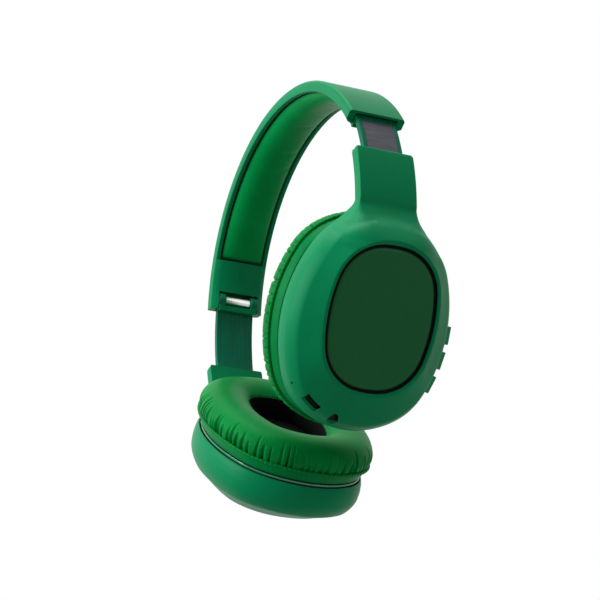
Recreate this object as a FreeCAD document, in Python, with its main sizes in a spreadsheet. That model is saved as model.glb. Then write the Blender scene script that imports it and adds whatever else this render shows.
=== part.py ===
import FreeCAD, Part

import math
import os

import Sketcher
from FreeCAD import Placement, Rotation, Vector

# Wireless over-ear headphones with a folding, sliding arm on each side.
# World frame: the wearer faces +Y, the right ear is at +X, +Z is up, and the
# origin is the crown of the headband pad, where the headphones hang on a head.
# Every cup piece is built in a cup frame: X outward from the head, Y to the
# wearer's front, Z up along the cup towards its neck.

DEGREES = 180 / math.pi

SIZES = [
    ("band_radius", 89.2, "outer radius of the headband"),
    ("band_half_angle", 70.6, "crown to band end, in degrees"),
    ("band_width", 28.0, "headband width, front to back"),
    ("band_wall", 1.2, "outer wall of the band shell"),
    ("band_chamfer", 0.9, "chamfer along the band's outer edges"),
    ("rim_depth", 5.6, "depth of the raised rim beside the pad"),
    ("rim_wall", 2.2, "thickness of that rim"),
    ("crown_depth", 9.5, "outer surface to pad crown"),
    ("frame_depth", 3.3, "outer surface to the inner frame"),
    ("frame_wall", 1.2, "inner frame thickness"),
    ("fit_gap", 0.2, "side clearance of parts that drop in"),
    ("soft_gap", 0.3, "clearance under and beside soft parts"),
    ("spring_width", 14.0, "width of the steel band spring"),
    ("spring_wall", 0.8, "thickness of the steel band spring"),
    ("spring_end_back", 14.0, "spring end to band end"),
    ("wire_radius", 0.7, "signal wire in the band"),
    ("wire_offset", 9.3, "signal wire off the band's middle"),
    ("pad_half_width", 10.7, "half width of the headband pad"),
    ("pad_foot_inset", 0.9, "pad side drawn in at its foot"),
    ("pad_shoulder_inset", 1.6, "pad side drawn in at its crown"),
    ("pad_end_depth", 6.4, "outer surface to pad crown at its ends"),
    ("pad_end_gap", 1.0, "pad end to hinge box"),
    ("box_length", 27.0, "length of the hinge box at each band end"),
    ("box_depth", 7.2, "outer surface to the hinge box face"),
    ("box_edge_depth", 5.3, "outer surface to the box's bevelled edge"),
    ("box_face_wall", 1.5, "thickness of the hinge box face"),
    ("box_cheek_inner", 10.75, "inner face of the box's side cheeks"),
    ("window_length", 9.7, "open length of the box below its face"),
    ("mark_size", 3.6, "height of the ear mark on the box"),
    ("mark_relief", 0.25, "how far the ear mark stands out"),
    ("pin_back", 5.2, "hinge pin to band end"),
    ("pin_depth", 5.3, "outer surface to hinge pin axis"),
    ("pin_radius", 2.4, "hinge pin barrel between the knuckle ears"),
    ("pin_axle_radius", 1.2, "hinge pin in the ears and cheeks"),
    ("pin_shoulder_gap", 0.2, "pin barrel to knuckle ear"),
    ("pin_half_length", 11.9, "half length of the hinge pin"),
    ("pin_press", 0.02, "clearance of the pin in the box"),
    ("pin_running", 0.05, "clearance of the pin in the knuckle"),
    ("ear_radius", 3.4, "round end of the knuckle ears"),
    ("ear_outer", 10.2, "outer face of the knuckle ears"),
    ("ear_inner", 7.0, "inner face of the knuckle ears"),
    ("bar_top", 2.9, "pin axis to the knuckle bar"),
    ("bar_bottom", 5.6, "pin axis to the bottom of the bar"),
    ("bar_inner", 2.4, "knuckle bar towards the head"),
    ("bar_roof", 0.7, "bar left above the strip"),
    ("washer_wall", 0.45, "spring washer thickness"),
    ("washer_radius", 3.3, "spring washer outer radius"),
    ("strip_radius", 94.9, "outer face radius of the slider strip"),
    ("strip_depth", 1.9, "band outer surface to strip outer face"),
    ("strip_width", 19.6, "slider strip width"),
    ("strip_wall", 2.7, "slider strip thickness"),
    ("strip_length", 46.0, "band end to the strip's lower end"),
    ("rail_width", 2.1, "rail beside the inlaid plate"),
    ("plate_recess", 0.5, "depth of the recess for the plate"),
    ("plate_wall", 0.4, "inlaid metal plate thickness"),
    ("plate_top", 0.9, "band end to plate"),
    ("plate_length", 36.0, "inlaid metal plate length"),
    ("right_fold", 8.9, "right arm folded in at rest, degrees"),
    ("left_fold", -3.2, "left arm folded in at rest, degrees"),
    ("right_extension", 18.5, "right arm pulled out at rest"),
    ("left_extension", 31.7, "left arm pulled out at rest"),
    ("neck_out", 1.45, "neck outer face beyond the strip"),
    ("neck_wall", 5.15, "neck thickness"),
    ("neck_half_width", 14.2, "half width of the neck"),
    ("neck_length", 26.6, "curved length of the neck"),
    ("neck_skin", 1.1, "wall of the neck"),
    ("neck_cheek", 1.5, "side wall of the neck"),
    ("neck_cap", 1.6, "wall at the neck mouth"),
    ("neck_round", 1.1, "rounding of the neck's outer edges"),
    ("neck_inner_round", 0.35, "rounding of the neck's inner edges"),
    ("neck_hollow_round", 0.4, "rounding inside the neck"),
    ("flare_foot", 20.0, "lower end of the neck's flare, above the cup's middle"),
    ("flare_face", 17.0, "outer face of the flare where it meets the dome"),
    ("flare_half_width", 26.8, "half width of the flare at its foot"),
    ("flare_round", 19.5, "edge rounding of the flare at its foot"),
    ("flare_lift", 1.65, "how early the flare's face rises"),
    ("flare_spread", 1.15, "how early the flare widens"),
    ("neck_cover_wall", 0.75, "plate that closes the neck"),
    ("neck_to_cup", 49.5, "neck end to the cover plate's centre"),
    ("neck_window", 43.6, "lower end of the neck cover, above the cup's middle"),
    ("neck_back_wall", 1.2, "housing wall below the neck cover"),
    ("cup_turn", 25.3, "turn from neck end to cup, degrees"),
    ("slide_gap", 0.3, "clearance around the sliding strip"),
    ("guide_length", 17.0, "length of the slider guide rails"),
    ("cup_half_width", 39.1, "half width of the cup rim"),
    ("cup_half_height", 47.5, "half height of the cup rim"),
    ("cup_corner_offset", 6.5, "rim corner arcs off the cup's middle line"),
    ("cup_side_bow", 3.6, "bow of the rim's sides beyond its corners"),
    ("cup_end_bow", 2.0, "bow of the rim's ends beyond its corners"),
    ("cup_drop", 4.95, "cover plate centre to rim centre"),
    ("cup_back", 4.8, "housing back edge behind the strip face"),
    ("cup_back_inset", 1.2, "rim wall drawn in at its back edge"),
    ("rim_level", 1.0, "widest level of the rim wall"),
    ("shoulder_level", 9.5, "level where the rim wall turns into the dome"),
    ("shoulder_share", 0.11, "how far the shoulder has come from rim to lip"),
    ("dome_level", 14.0, "level halfway up the dome"),
    ("dome_share", 0.62, "how far that level has come from rim to lip"),
    ("cup_top", 18.1, "top of the lip around the cover plate"),
    ("cup_wall", 1.8, "housing wall"),
    ("cavity_top", 14.3, "inner face of the housing's floor"),
    ("cover_half_width", 25.9, "half width of the cover recess"),
    ("cover_half_height", 32.8, "half height of the cover recess"),
    ("cover_corner_offset", 2.9, "recess corner arcs off the middle line"),
    ("cover_side_bow", 1.2, "bow of the recess's sides"),
    ("cover_end_bow", 0.2, "bow of the recess's ends"),
    ("cover_edge_bevel", 1.2, "bevel around the cover plate"),
    ("cover_gap", 1.5, "dark gap around the cover plate"),
    ("cover_lip", 1.3, "lip around the recess"),
    ("cover_floor", 16.0, "floor of the cover recess"),
    ("cover_face", 17.8, "outer face of the cover plate"),
    ("ring_front", 5.2, "trim ring, side towards the housing"),
    ("ring_back", 6.2, "trim ring, side towards the cushion"),
    ("ring_inset", 2.0, "trim ring set in from the rim"),
    ("spigot_inset", 5.0, "baffle spigot set in from the rim"),
    ("spigot_wall", 1.8, "baffle spigot wall"),
    ("spigot_depth", 10.2, "baffle spigot reach to the cushion"),
    ("baffle_front", 2.6, "baffle face towards the dome"),
    ("baffle_back", 4.6, "baffle face towards the ear"),
    ("flange_front", 6.9, "cushion flange towards the housing"),
    ("flange_back", 11.4, "cushion flange towards the ear"),
    ("flange_inset", 1.8, "cushion flange at its groove"),
    ("flange_clearance", 2.5, "flange opening beyond the ear opening"),
    ("cushion_face", 25.4, "crown of the ear cushion"),
    ("cushion_bulge", 1.2, "cushion side beyond the rim"),
    ("cushion_crown_run", 10.5, "rim to the cushion's crown line"),
    ("well_half_width", 19.5, "half width of the ear opening"),
    ("well_half_height", 26.0, "half height of the ear opening"),
    ("well_corner_offset", 1.0, "ear opening's corner arcs off the middle line"),
    ("well_side_bow", 1.7, "bow of the ear opening's sides"),
    ("well_end_bow", 0.2, "bow of the ear opening's ends"),
    ("well_flare", 6.2, "ear opening's spread at the crown"),
    ("scrim_wall", 0.3, "cloth over the speaker"),
    ("driver_drop", 6.2, "cover plate centre to speaker centre"),
    ("driver_flange_radius", 20.2, "speaker frame flange"),
    ("driver_flange_wall", 1.2, "speaker flange thickness"),
    ("driver_radius", 18.0, "speaker basket"),
    ("driver_wall", 1.2, "speaker basket wall"),
    ("driver_reach", 2.6, "speaker basket towards the dome"),
    ("magnet_radius", 11.0, "speaker magnet"),
    ("magnet_wall", 3.0, "speaker magnet thickness"),
    ("film_wall", 0.2, "speaker diaphragm thickness"),
    ("film_edge", 2.0, "flat edge of the diaphragm"),
    ("film_bow", 1.6, "height of the diaphragm's dome"),
    ("grille_wall", 0.8, "guard over the speaker"),
    ("grille_hole", 1.3, "hole radius in the guard"),
    ("grille_pitch", 5.3, "distance between the guard's rings of holes"),
    ("screw_half_span", 20.5, "screws off the cup's middle"),
    ("screw_rise", 17.0, "upper screws above the rim centre"),
    ("screw_fall", 20.0, "lower screws below the rim centre"),
    ("screw_radius", 1.1, "screw shank"),
    ("screw_head_radius", 2.3, "screw head"),
    ("screw_head_wall", 1.5, "screw head thickness"),
    ("screw_reach", 6.0, "screw tip towards the dome"),
    ("screw_slot", 0.6, "width and depth of the screw's cross"),
    ("screw_slot_length", 3.2, "length of the screw's cross"),
    ("boss_radius", 2.6, "screw boss"),
    ("board_half_width", 17.0, "half width of the circuit board"),
    ("board_above", 17.0, "circuit board above the speaker's middle"),
    ("board_below", 35.0, "circuit board below the speaker's middle"),
    ("board_wall", 1.0, "circuit board thickness"),
    ("battery_half_width", 16.0, "half width of the battery"),
    ("battery_half_height", 14.0, "half height of the battery"),
    ("battery_wall", 5.0, "battery thickness"),
    ("button_length", 8.2, "button along the rim"),
    ("button_width", 3.2, "button across the rim"),
    ("button_proud", 1.1, "button beyond the rim wall"),
    ("button_first", -1.4, "middle of the rim's front to the first button"),
    ("button_pitch", 11.6, "distance between buttons along the rim"),
    ("button_edge_round", 0.6, "rounding of the button's edge"),
    ("button_level", 7.0, "button height on the rim wall"),
    ("button_travel", 0.5, "button travel"),
    ("button_gap", 0.2, "clearance around each button"),
    ("button_stem", 3.5, "rim wall surface to the button's foot"),
    ("button_foot", 0.8, "thickness of the button's foot"),
    ("usb_angle", 126.2, "charging socket around the rim, degrees"),
    ("usb_level", 10.3, "height of the charging socket on the rim wall"),
    ("usb_width", 9.0, "charging socket width"),
    ("usb_height", 3.2, "charging socket height"),
    ("usb_depth", 7.3, "charging socket depth"),
    ("aux_angle", 105.0, "audio jack around the rim, degrees"),
    ("aux_level", 9.8, "height of the audio jack on the rim wall"),
    ("aux_lean", 10.0, "lean of the audio jack towards straight down, degrees"),
    ("aux_bore", 1.8, "audio jack bore"),
    ("aux_lead", 2.1, "wider lead-in at the mouth of the audio jack"),
    ("aux_lead_length", 4.2, "length of the audio jack's lead-in"),
    ("aux_nose", 2.5, "audio jack nose in the wall"),
    ("aux_nose_length", 5.5, "length of the audio jack's nose"),
    ("aux_barrel", 2.7, "audio jack barrel"),
    ("port_inset", 0.6, "port mouths below the rim wall surface"),
    ("aux_length", 14.0, "audio jack length from its mouth to the end of its bore"),
    ("mic_angle", 151.5, "microphone around the rim, degrees"),
    ("mic_level", 7.1, "height of the microphone on the rim wall"),
    ("mic_hole", 0.6, "microphone hole"),
    ("mic_radius", 1.5, "microphone capsule"),
    ("mic_back", 1.2, "microphone behind the rim wall"),
]


class Size:
    """A number from the sheet, kept with the sheet expression that gives it."""

    def __init__(self, number, text):
        self.number = float(number)
        self.text = text

    def joined(self, other, sign, number):
        text = other.text if isinstance(other, Size) else repr(float(other))
        return Size(number, "(%s %s %s)" % (self.text, sign, text))

    def __add__(self, other):
        return self.joined(other, "+", self.number + value(other))

    def __sub__(self, other):
        return self.joined(other, "-", self.number - value(other))

    def __mul__(self, other):
        return self.joined(other, "*", self.number * value(other))

    def __truediv__(self, other):
        return self.joined(other, "/", self.number / value(other))

    def __neg__(self):
        return self * -1


def value(size):
    """The plain number of a Size, or the number itself."""
    return size.number if isinstance(size, Size) else float(size)


class Sheet:
    """The driving dimensions: sheet.name is a Size bound to the cell of that name."""

    def __init__(self, doc):
        self.table = doc.addObject("Spreadsheet::Sheet", "Sizes")
        for row, (name, number, note) in enumerate(SIZES, start=1):
            self.table.set("A%d" % row, name)
            self.table.set("B%d" % row, str(number))
            self.table.set("C%d" % row, note)
            self.table.setAlias("B%d" % row, name)
        doc.recompute()
        for name, _, _ in SIZES:
            setattr(self, name, Size(self.table.get(name), "Sizes." + name))


doc = FreeCAD.newDocument("Headphones")
dim = Sheet(doc)
parts = []

SIDES = ("right", "left")


# Frames. Each side's pieces are built as if for the right ear. The left ear's
# copy is turned half way round Z first, so its front and back trade places.

def turn_y(angle):
    """A turn about Y that swings +X down towards -Z."""
    return Placement(Vector(), Rotation(Vector(0, 1, 0), angle))


def shift(x, z):
    return Placement(Vector(x, 0, z), Rotation())


band_centre = shift(0, dim.crown_depth.number - dim.band_radius.number)
pin_angle = dim.band_half_angle - dim.pin_back / dim.band_radius * DEGREES
pin_orbit = dim.band_radius - dim.pin_depth
strip_outset = dim.pin_depth - dim.strip_depth


def side_turn(side):
    half_turn = Rotation(Vector(0, 0, 1), 0 if side == "right" else 180)
    return Placement(Vector(), half_turn)


def box_place(side):
    """Frame of a hinge box: band centre, with +X through the hinge pin."""
    tilt = turn_y(pin_angle.number - 90)
    return band_centre.multiply(side_turn(side)).multiply(tilt)


def arm_place(side):
    """Frame of a folded arm: hinge pin axis, with +Z up along the strip."""
    fold = dim.right_fold if side == "right" else dim.left_fold
    back = dim.pin_back.number / dim.band_radius.number * DEGREES
    place = box_place(side).multiply(shift(pin_orbit.number, 0))
    return place.multiply(turn_y(fold.number + back))


def strip_place(side):
    """Frame of the strip: the centre of its arc, with +X through the band end."""
    offset = shift(strip_outset.number - dim.strip_radius.number, -dim.pin_back.number)
    return arm_place(side).multiply(offset)


def neck_place(side):
    """Frame of a neck: the strip's arc centre, with +X through the neck mouth."""
    pulled = dim.right_extension if side == "right" else dim.left_extension
    return strip_place(side).multiply(turn_y(pulled.number / dim.strip_radius.number * DEGREES))


def cup_in_neck():
    """The cup frame, seen from the neck frame."""
    bend = dim.neck_length.number / dim.strip_radius.number * DEGREES
    place = turn_y(bend).multiply(shift(dim.strip_radius.number, 0))
    place = place.multiply(turn_y(dim.cup_turn.number))
    return place.multiply(shift(0, -dim.neck_to_cup.number))


def cup_place(side):
    return neck_place(side).multiply(cup_in_neck())


# Feature helpers.

def add_part(item, label, place):
    """Names a finished sub-part, places it and lists it for export."""
    item.Label = label
    item.Placement = place
    parts.append(item)
    return item


def moved(shape, place):
    """A copy of a shape, carried along by a frame."""
    copy = shape.copy()
    copy.Placement = place.multiply(copy.Placement)
    return copy


def solid_part(label, shape, place):
    """A sub-part whose shape is lofted or cut from the sheet's sizes."""
    item = doc.addObject("Part::Feature", label)
    item.Shape = shape
    return add_part(item, label, place.multiply(shape.Placement))


def bound(item, **settings):
    """Sets properties of an object from sizes, as sheet expressions."""
    for name, size in settings.items():
        if isinstance(size, Size):
            item.setExpression(name, size.text)
        else:
            setattr(item, name, size)
    return item


def new_body(name):
    return doc.addObject("PartDesign::Body", name)


def new_sketch(body, plane, name):
    sketch = body.newObject("Sketcher::SketchObject", name)
    for item in body.Origin.OriginFeatures:
        if item.Role == plane:
            sketch.AttachmentSupport = (item, [""])
    sketch.MapMode = "FlatFace"
    return sketch


def fix_point(sketch, edge, end, axis, size):
    """Ties one end of a sketch edge to a signed distance from the origin."""
    if abs(value(size)) < 1e-9:
        kind = "PointOnObject"
        target = -1 if axis == "DistanceY" else -2
        sketch.addConstraint(Sketcher.Constraint(kind, edge, end, target))
        return
    ends = (-1, 1, edge, end) if value(size) > 0 else (edge, end, -1, 1)
    index = sketch.addConstraint(Sketcher.Constraint(axis, *ends, abs(value(size))))
    signed = size if value(size) > 0 else -size
    if isinstance(signed, Size):
        sketch.setExpression("Constraints[%d]" % index, signed.text)


def draw_corners(sketch, corners):
    """A closed outline of straight edges through corners given as sizes."""
    first = sketch.GeometryCount
    points = [Vector(value(x), value(y), 0) for x, y in corners]
    for start, end in zip(points, points[1:] + points[:1]):
        sketch.addGeometry(Part.LineSegment(start, end), False)
    count = len(points)
    for index in range(count):
        following = first + (index + 1) % count
        sketch.addConstraint(Sketcher.Constraint("Coincident", first + index, 2, following, 1))
    for index, (x, y) in enumerate(corners):
        fix_point(sketch, first + index, 1, "DistanceX", x)
        fix_point(sketch, first + index, 1, "DistanceY", y)


def draw_circle(sketch, x, y, radius):
    index = sketch.GeometryCount
    centre = Vector(value(x), value(y), 0)
    sketch.addGeometry(Part.Circle(centre, Vector(0, 0, 1), value(radius)), False)
    round_index = sketch.addConstraint(Sketcher.Constraint("Radius", index, value(radius)))
    if isinstance(radius, Size):
        sketch.setExpression("Constraints[%d]" % round_index, radius.text)
    fix_point(sketch, index, 3, "DistanceX", x)
    fix_point(sketch, index, 3, "DistanceY", y)


def box_corners(x_low, x_high, y_low, y_high):
    return [(x_low, y_low), (x_high, y_low), (x_high, y_high), (x_low, y_high)]


def revolve(body, name, corners, start, sweep):
    """Turns an outline in (radius, Y) about Y, from a start angle down through a sweep."""
    sketch = new_sketch(body, "XY_Plane", name + "_outline")
    draw_corners(sketch, corners)
    sketch.AttachmentOffset = Placement(Vector(), Rotation(Vector(0, 1, 0), value(start)))
    if isinstance(start, Size):
        sketch.setExpression("AttachmentOffset.Rotation.Angle", start.text)
    feature = body.newObject("PartDesign::Revolution", name)
    feature.Profile = sketch
    feature.ReferenceAxis = (sketch, ["V_Axis"])
    bound(feature, Angle=sweep)
    sketch.Visibility = False
    return feature


def cut_across(body, name, draw, reach):
    """Cuts a sketch drawn on XZ through the body, both ways along Y."""
    sketch = new_sketch(body, "XZ_Plane", name + "_outline")
    draw(sketch)
    feature = body.newObject("PartDesign::Pocket", name)
    feature.Profile = sketch
    feature.Midplane = True
    bound(feature, Length=reach)
    return feature


def pad_across(body, name, draw, reach):
    """Pads a sketch drawn on XZ, both ways along Y."""
    sketch = new_sketch(body, "XZ_Plane", name + "_outline")
    draw(sketch)
    feature = body.newObject("PartDesign::Pad", name)
    feature.Profile = sketch
    feature.Midplane = True
    bound(feature, Length=reach)
    return feature


def pad_outward(body, name, draw, start, end, cut=False):
    """Pads or cuts a sketch drawn on YZ, from one height along X to another."""
    sketch = new_sketch(body, "YZ_Plane", name + "_outline")
    draw(sketch)
    sketch.AttachmentOffset = Placement(Vector(0, 0, value(start)), Rotation())
    if isinstance(start, Size):
        sketch.setExpression("AttachmentOffset.Base.z", start.text)
    kind = "PartDesign::Pocket" if cut else "PartDesign::Pad"
    feature = body.newObject(kind, name)
    feature.Profile = sketch
    feature.Reversed = cut
    bound(feature, Length=end - start if isinstance(end, Size) else end - value(start))
    return feature


# Ovals of eight arcs: round corners joined by flatter side and end arcs.

class Oval:
    """An oval in Y and Z, symmetric about both, with its middle at Z = centre."""

    def __init__(self, half_width, half_height, corner_y, side_bow, end_bow, centre=0.0):
        self.sizes = (half_width, half_height, corner_y, side_bow, end_bow, centre)
        self.half_width = half_width
        self.half_height = half_height
        self.centre = centre
        self.corner = half_width - corner_y - side_bow
        self.corner_y = corner_y
        self.corner_z = half_height - self.corner - end_bow
        corner = self.corner
        self.side = corner + side_bow / 2 + self.corner_z ** 2 / (2 * side_bow)
        self.end = corner + end_bow / 2 + self.corner_y ** 2 / (2 * end_bow)
        self.side_y = half_width - self.side
        self.end_z = half_height - self.end
        self.low_turn = math.atan2(self.corner_z, self.corner_y - self.side_y)
        self.high_turn = math.atan2(self.corner_z - self.end_z, self.corner_y)

    def grown(self, amount):
        """The same oval, offset outward all round."""
        half_width, half_height, *others = self.sizes
        return Oval(half_width + amount, half_height + amount, *others)

    def blended(self, other, share):
        """An oval part of the way from this one to another."""
        pairs = zip(self.sizes, other.sizes)
        return Oval(*[a + (b - a) * share for a, b in pairs])

    def corner_point(self, turn):
        """A point of the upper front corner arc, at an angle from +Y."""
        y = self.corner_y + self.corner * math.cos(turn)
        z = self.corner_z + self.corner * math.sin(turn)
        return y, z

    def wire(self, x):
        """The closed outline at height x."""
        def spot(y, z):
            return Vector(x, y, self.centre + z)

        low_y, low_z = self.corner_point(self.low_turn)
        mid_y, mid_z = self.corner_point((self.low_turn + self.high_turn) / 2)
        high_y, high_z = self.corner_point(self.high_turn)
        joins = [
            (low_y, low_z), (high_y, high_z), (-high_y, high_z), (-low_y, low_z),
            (-low_y, -low_z), (-high_y, -high_z), (high_y, -high_z), (low_y, -low_z),
        ]
        middles = [
            (mid_y, mid_z), (0, self.half_height), (-mid_y, mid_z), (-self.half_width, 0),
            (-mid_y, -mid_z), (0, -self.half_height), (mid_y, -mid_z), (self.half_width, 0),
        ]
        arcs = []
        for index, middle in enumerate(middles):
            start = spot(*joins[index])
            finish = spot(*joins[(index + 1) % len(joins)])
            arcs.append(Part.Arc(start, spot(*middle), finish).toShape())
        return Part.Wire(arcs)

    def plate(self, low, high):
        """A flat plate of this outline between two heights along X."""
        return Part.Face(self.wire(low)).extrude(Vector(high - low, 0, 0))

    def point(self, angle):
        """The point whose normal leans this many degrees from +Y towards -Z."""
        lean = math.radians(angle)
        normal = Vector(0, math.cos(lean), -math.sin(lean))
        turn = math.atan2(abs(normal.z), abs(normal.y))
        if turn < self.low_turn:
            middle, radius = (self.side_y, 0.0), self.side
        elif turn < self.high_turn:
            middle, radius = (self.corner_y, self.corner_z), self.corner
        else:
            middle, radius = (0.0, self.end_z), self.end
        y = middle[0] * math.copysign(1.0, normal.y)
        z = middle[1] * math.copysign(1.0, normal.z)
        return Vector(0, y, z + self.centre) + normal * radius, normal

    def angle_at(self, travel):
        """Lean of the normal this far along the outline from +Y towards -Z."""
        straight = self.side * self.low_turn
        if abs(travel) < straight:
            return math.degrees(travel / self.side)
        beyond = (abs(travel) - straight) / self.corner
        return math.degrees(math.copysign(self.low_turn + beyond, travel))


def oval_loft(stations, ruled=False):
    """A solid through ovals, each given as (height along X, oval)."""
    return Part.makeLoft([oval.wire(x) for x, oval in stations], True, ruled)


rim_oval = Oval(
    dim.cup_half_width.number, dim.cup_half_height.number, dim.cup_corner_offset.number,
    dim.cup_side_bow.number, dim.cup_end_bow.number, -dim.cup_drop.number)
recess_oval = Oval(
    dim.cover_half_width.number, dim.cover_half_height.number, dim.cover_corner_offset.number,
    dim.cover_side_bow.number, dim.cover_end_bow.number)
lip_oval = recess_oval.grown(dim.cover_lip.number)
well_oval = Oval(
    dim.well_half_width.number, dim.well_half_height.number, dim.well_corner_offset.number,
    dim.well_side_bow.number, dim.well_end_bow.number, -dim.cup_drop.number)


def outer_profile():
    """Outside of the cup as (height along X, inset, share of the way from rim to lip)."""
    back = -dim.cup_back.number
    inset = dim.cup_back_inset.number
    shoulder = dim.shoulder_level.number
    share = dim.shoulder_share.number
    return [
        (back, inset, 0.0), (back / 2, inset / 3, 0.0), (dim.rim_level.number, 0.0, 0.0),
        (shoulder / 2, 0.0, share / 5), (shoulder, 0.0, share),
        (dim.dome_level.number, 0.0, dim.dome_share.number), (dim.cup_top.number, 0.0, 1.0),
    ]


def outline_at(level):
    """Oval of the cup's outside at a height along X, read off its profile."""
    profile = outer_profile()
    for (low, inset0, share0), (high, inset1, share1) in zip(profile, profile[1:]):
        if low <= level <= high:
            part = (level - low) / (high - low)
            inset = inset0 + (inset1 - inset0) * part
            share = share0 + (share1 - share0) * part
            return rim_oval.grown(-inset).blended(lip_oval, share)
    return lip_oval


def rim_frame(angle, level):
    """A frame on the rim wall: its X points out of the wall, its Z along the cup's X."""
    point, normal = outline_at(level).point(angle)
    along = Vector(1, 0, 0)
    rotation = Rotation(normal, along.cross(normal), along, "XZY")
    return Placement(Vector(level, point.y, point.z), rotation)


# Headband.

def band_outline(body, name, corners, end_back=None):
    """Revolves a (radius, Y) outline over the band, stopping short of both ends."""
    half = dim.band_half_angle
    if end_back:
        half = half - end_back / dim.band_radius * DEGREES
    return revolve(body, name, corners, -half - 90, half * 2)


def make_band_shell():
    """Outer skin over the whole arc, with raised rims between the hinge boxes."""
    body = new_body("BandOuterShell")
    radius = dim.band_radius
    half = dim.band_width / 2
    wall = radius - dim.band_wall
    edge = radius - dim.band_chamfer
    inside = half - dim.band_chamfer
    skin = [
        (wall, -half), (edge, -half), (radius, -inside),
        (radius, inside), (edge, half), (wall, half),
    ]
    band_outline(body, "Skin", skin)
    low = radius - dim.rim_depth
    inner = half - dim.rim_wall
    band_outline(body, "FrontRim", box_corners(low, wall, inner, half), dim.box_length)
    band_outline(body, "BackRim", box_corners(low, wall, -half, -inner), dim.box_length)
    add_part(body, "band_outer_shell", band_centre)


def make_band_frame():
    """Plastic tray between the rims, which carries the pad and closes the band."""
    body = new_body("BandInnerFrame")
    high = dim.band_radius - dim.frame_depth
    low = high - dim.frame_wall
    half = dim.band_width / 2 - dim.rim_wall - dim.fit_gap
    back = dim.box_length + dim.fit_gap
    band_outline(body, "Tray", box_corners(low, high, -half, half), back)
    add_part(body, "band_inner_frame", band_centre)


def make_band_spring():
    """Spring steel strip that gives the band its clamping force."""
    body = new_body("SpringSteelBand")
    high = dim.band_radius - dim.band_wall - dim.fit_gap
    low = high - dim.spring_wall
    half = dim.spring_width / 2
    band_outline(body, "Strip", box_corners(low, high, -half, half), dim.spring_end_back)
    add_part(body, "spring_steel_band", band_centre)


def make_band_wire():
    """Signal wire that joins the two cups, laid beside the spring."""
    wire = doc.addObject("Part::Torus", "HeadbandWire")
    half = dim.band_half_angle - dim.spring_end_back / dim.band_radius * DEGREES
    orbit = dim.band_radius - dim.band_wall - dim.fit_gap * 2 - dim.wire_radius
    bound(wire, Radius1=orbit, Radius2=dim.wire_radius, Angle3=half * 2)
    upright = Rotation(Vector(1, 0, 0), 90)
    start = Rotation(Vector(0, 0, 1), 90 - half.number)
    offset = Placement(Vector(0, dim.wire_offset.number, 0), upright)
    place = band_centre.multiply(offset).multiply(Placement(Vector(), start))
    add_part(wire, "headband_wire", place)


def pad_section(angle, crown_depth):
    """Cross-section of the headband pad: flat base, drawn-in sides, round crown."""
    base = dim.band_radius.number - dim.frame_depth.number - dim.frame_wall.number
    base = base - dim.soft_gap.number
    crown = dim.band_radius.number - crown_depth
    half = dim.pad_half_width.number
    foot = half - dim.pad_foot_inset.number
    shoulder = half - dim.pad_shoulder_inset.number
    thick = base - crown
    points = [
        (foot, base), (half, base - thick * 0.40), (shoulder, base - thick * 0.72),
        (0, crown),
        (-shoulder, base - thick * 0.72), (-half, base - thick * 0.40), (-foot, base),
    ]
    lean = math.radians(angle)
    spots = [Vector(r * math.sin(lean), y, r * math.cos(lean)) for y, r in points]
    edges = [
        Part.Arc(spots[0], spots[1], spots[2]).toShape(),
        Part.Arc(spots[2], spots[3], spots[4]).toShape(),
        Part.Arc(spots[4], spots[5], spots[6]).toShape(),
        Part.LineSegment(spots[6], spots[0]).toShape(),
    ]
    return Part.Wire(edges)


def make_headband_pad():
    """Soft pad under the crown, full in the middle and thinner at its ends."""
    back = dim.box_length.number + dim.pad_end_gap.number
    half = dim.band_half_angle.number - back / dim.band_radius.number * DEGREES
    rise = dim.crown_depth.number - dim.pad_end_depth.number
    steps = 12
    sections = []
    for index in range(steps + 1):
        share = 2 * index / steps - 1
        depth = dim.pad_end_depth.number + rise * (1 - share ** 4)
        sections.append(pad_section(share * half, depth))
    solid_part("headband_pad", Part.makeLoft(sections, True, False), band_centre)


# Hinge boxes and pins.

def ear_mark(side):
    """Raised letter on the box face: R or L, drawn with straight strokes."""
    tall = dim.mark_size.number
    wide = tall * 0.55
    stroke = tall * 0.17
    strokes = [((0, 0), (0, tall))]
    if side == "left":
        strokes.append(((0, 0), (wide, 0)))
    else:
        strokes += [((0, tall), (wide, tall)), ((wide, tall), (wide, tall / 2))]
        strokes += [((wide, tall / 2), (0, tall / 2)), ((wide * 0.4, tall / 2), (wide, 0))]
    bars = []
    for (y0, z0), (y1, z1) in strokes:
        run = math.hypot(y1 - y0, z1 - z0)
        lean = math.degrees(math.atan2(z1 - z0, y0 - y1))
        bar = Part.makeBox(2.0, run + stroke, stroke, Vector(-1, -stroke / 2, -stroke / 2))
        bar.Placement = Placement(Vector(0, -y0, z0), Rotation(Vector(1, 0, 0), lean))
        bars.append(bar)
    mark = bars[0].multiFuse(bars[1:])
    mark.translate(Vector(0, wide / 2, -tall / 2))
    return mark


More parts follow.
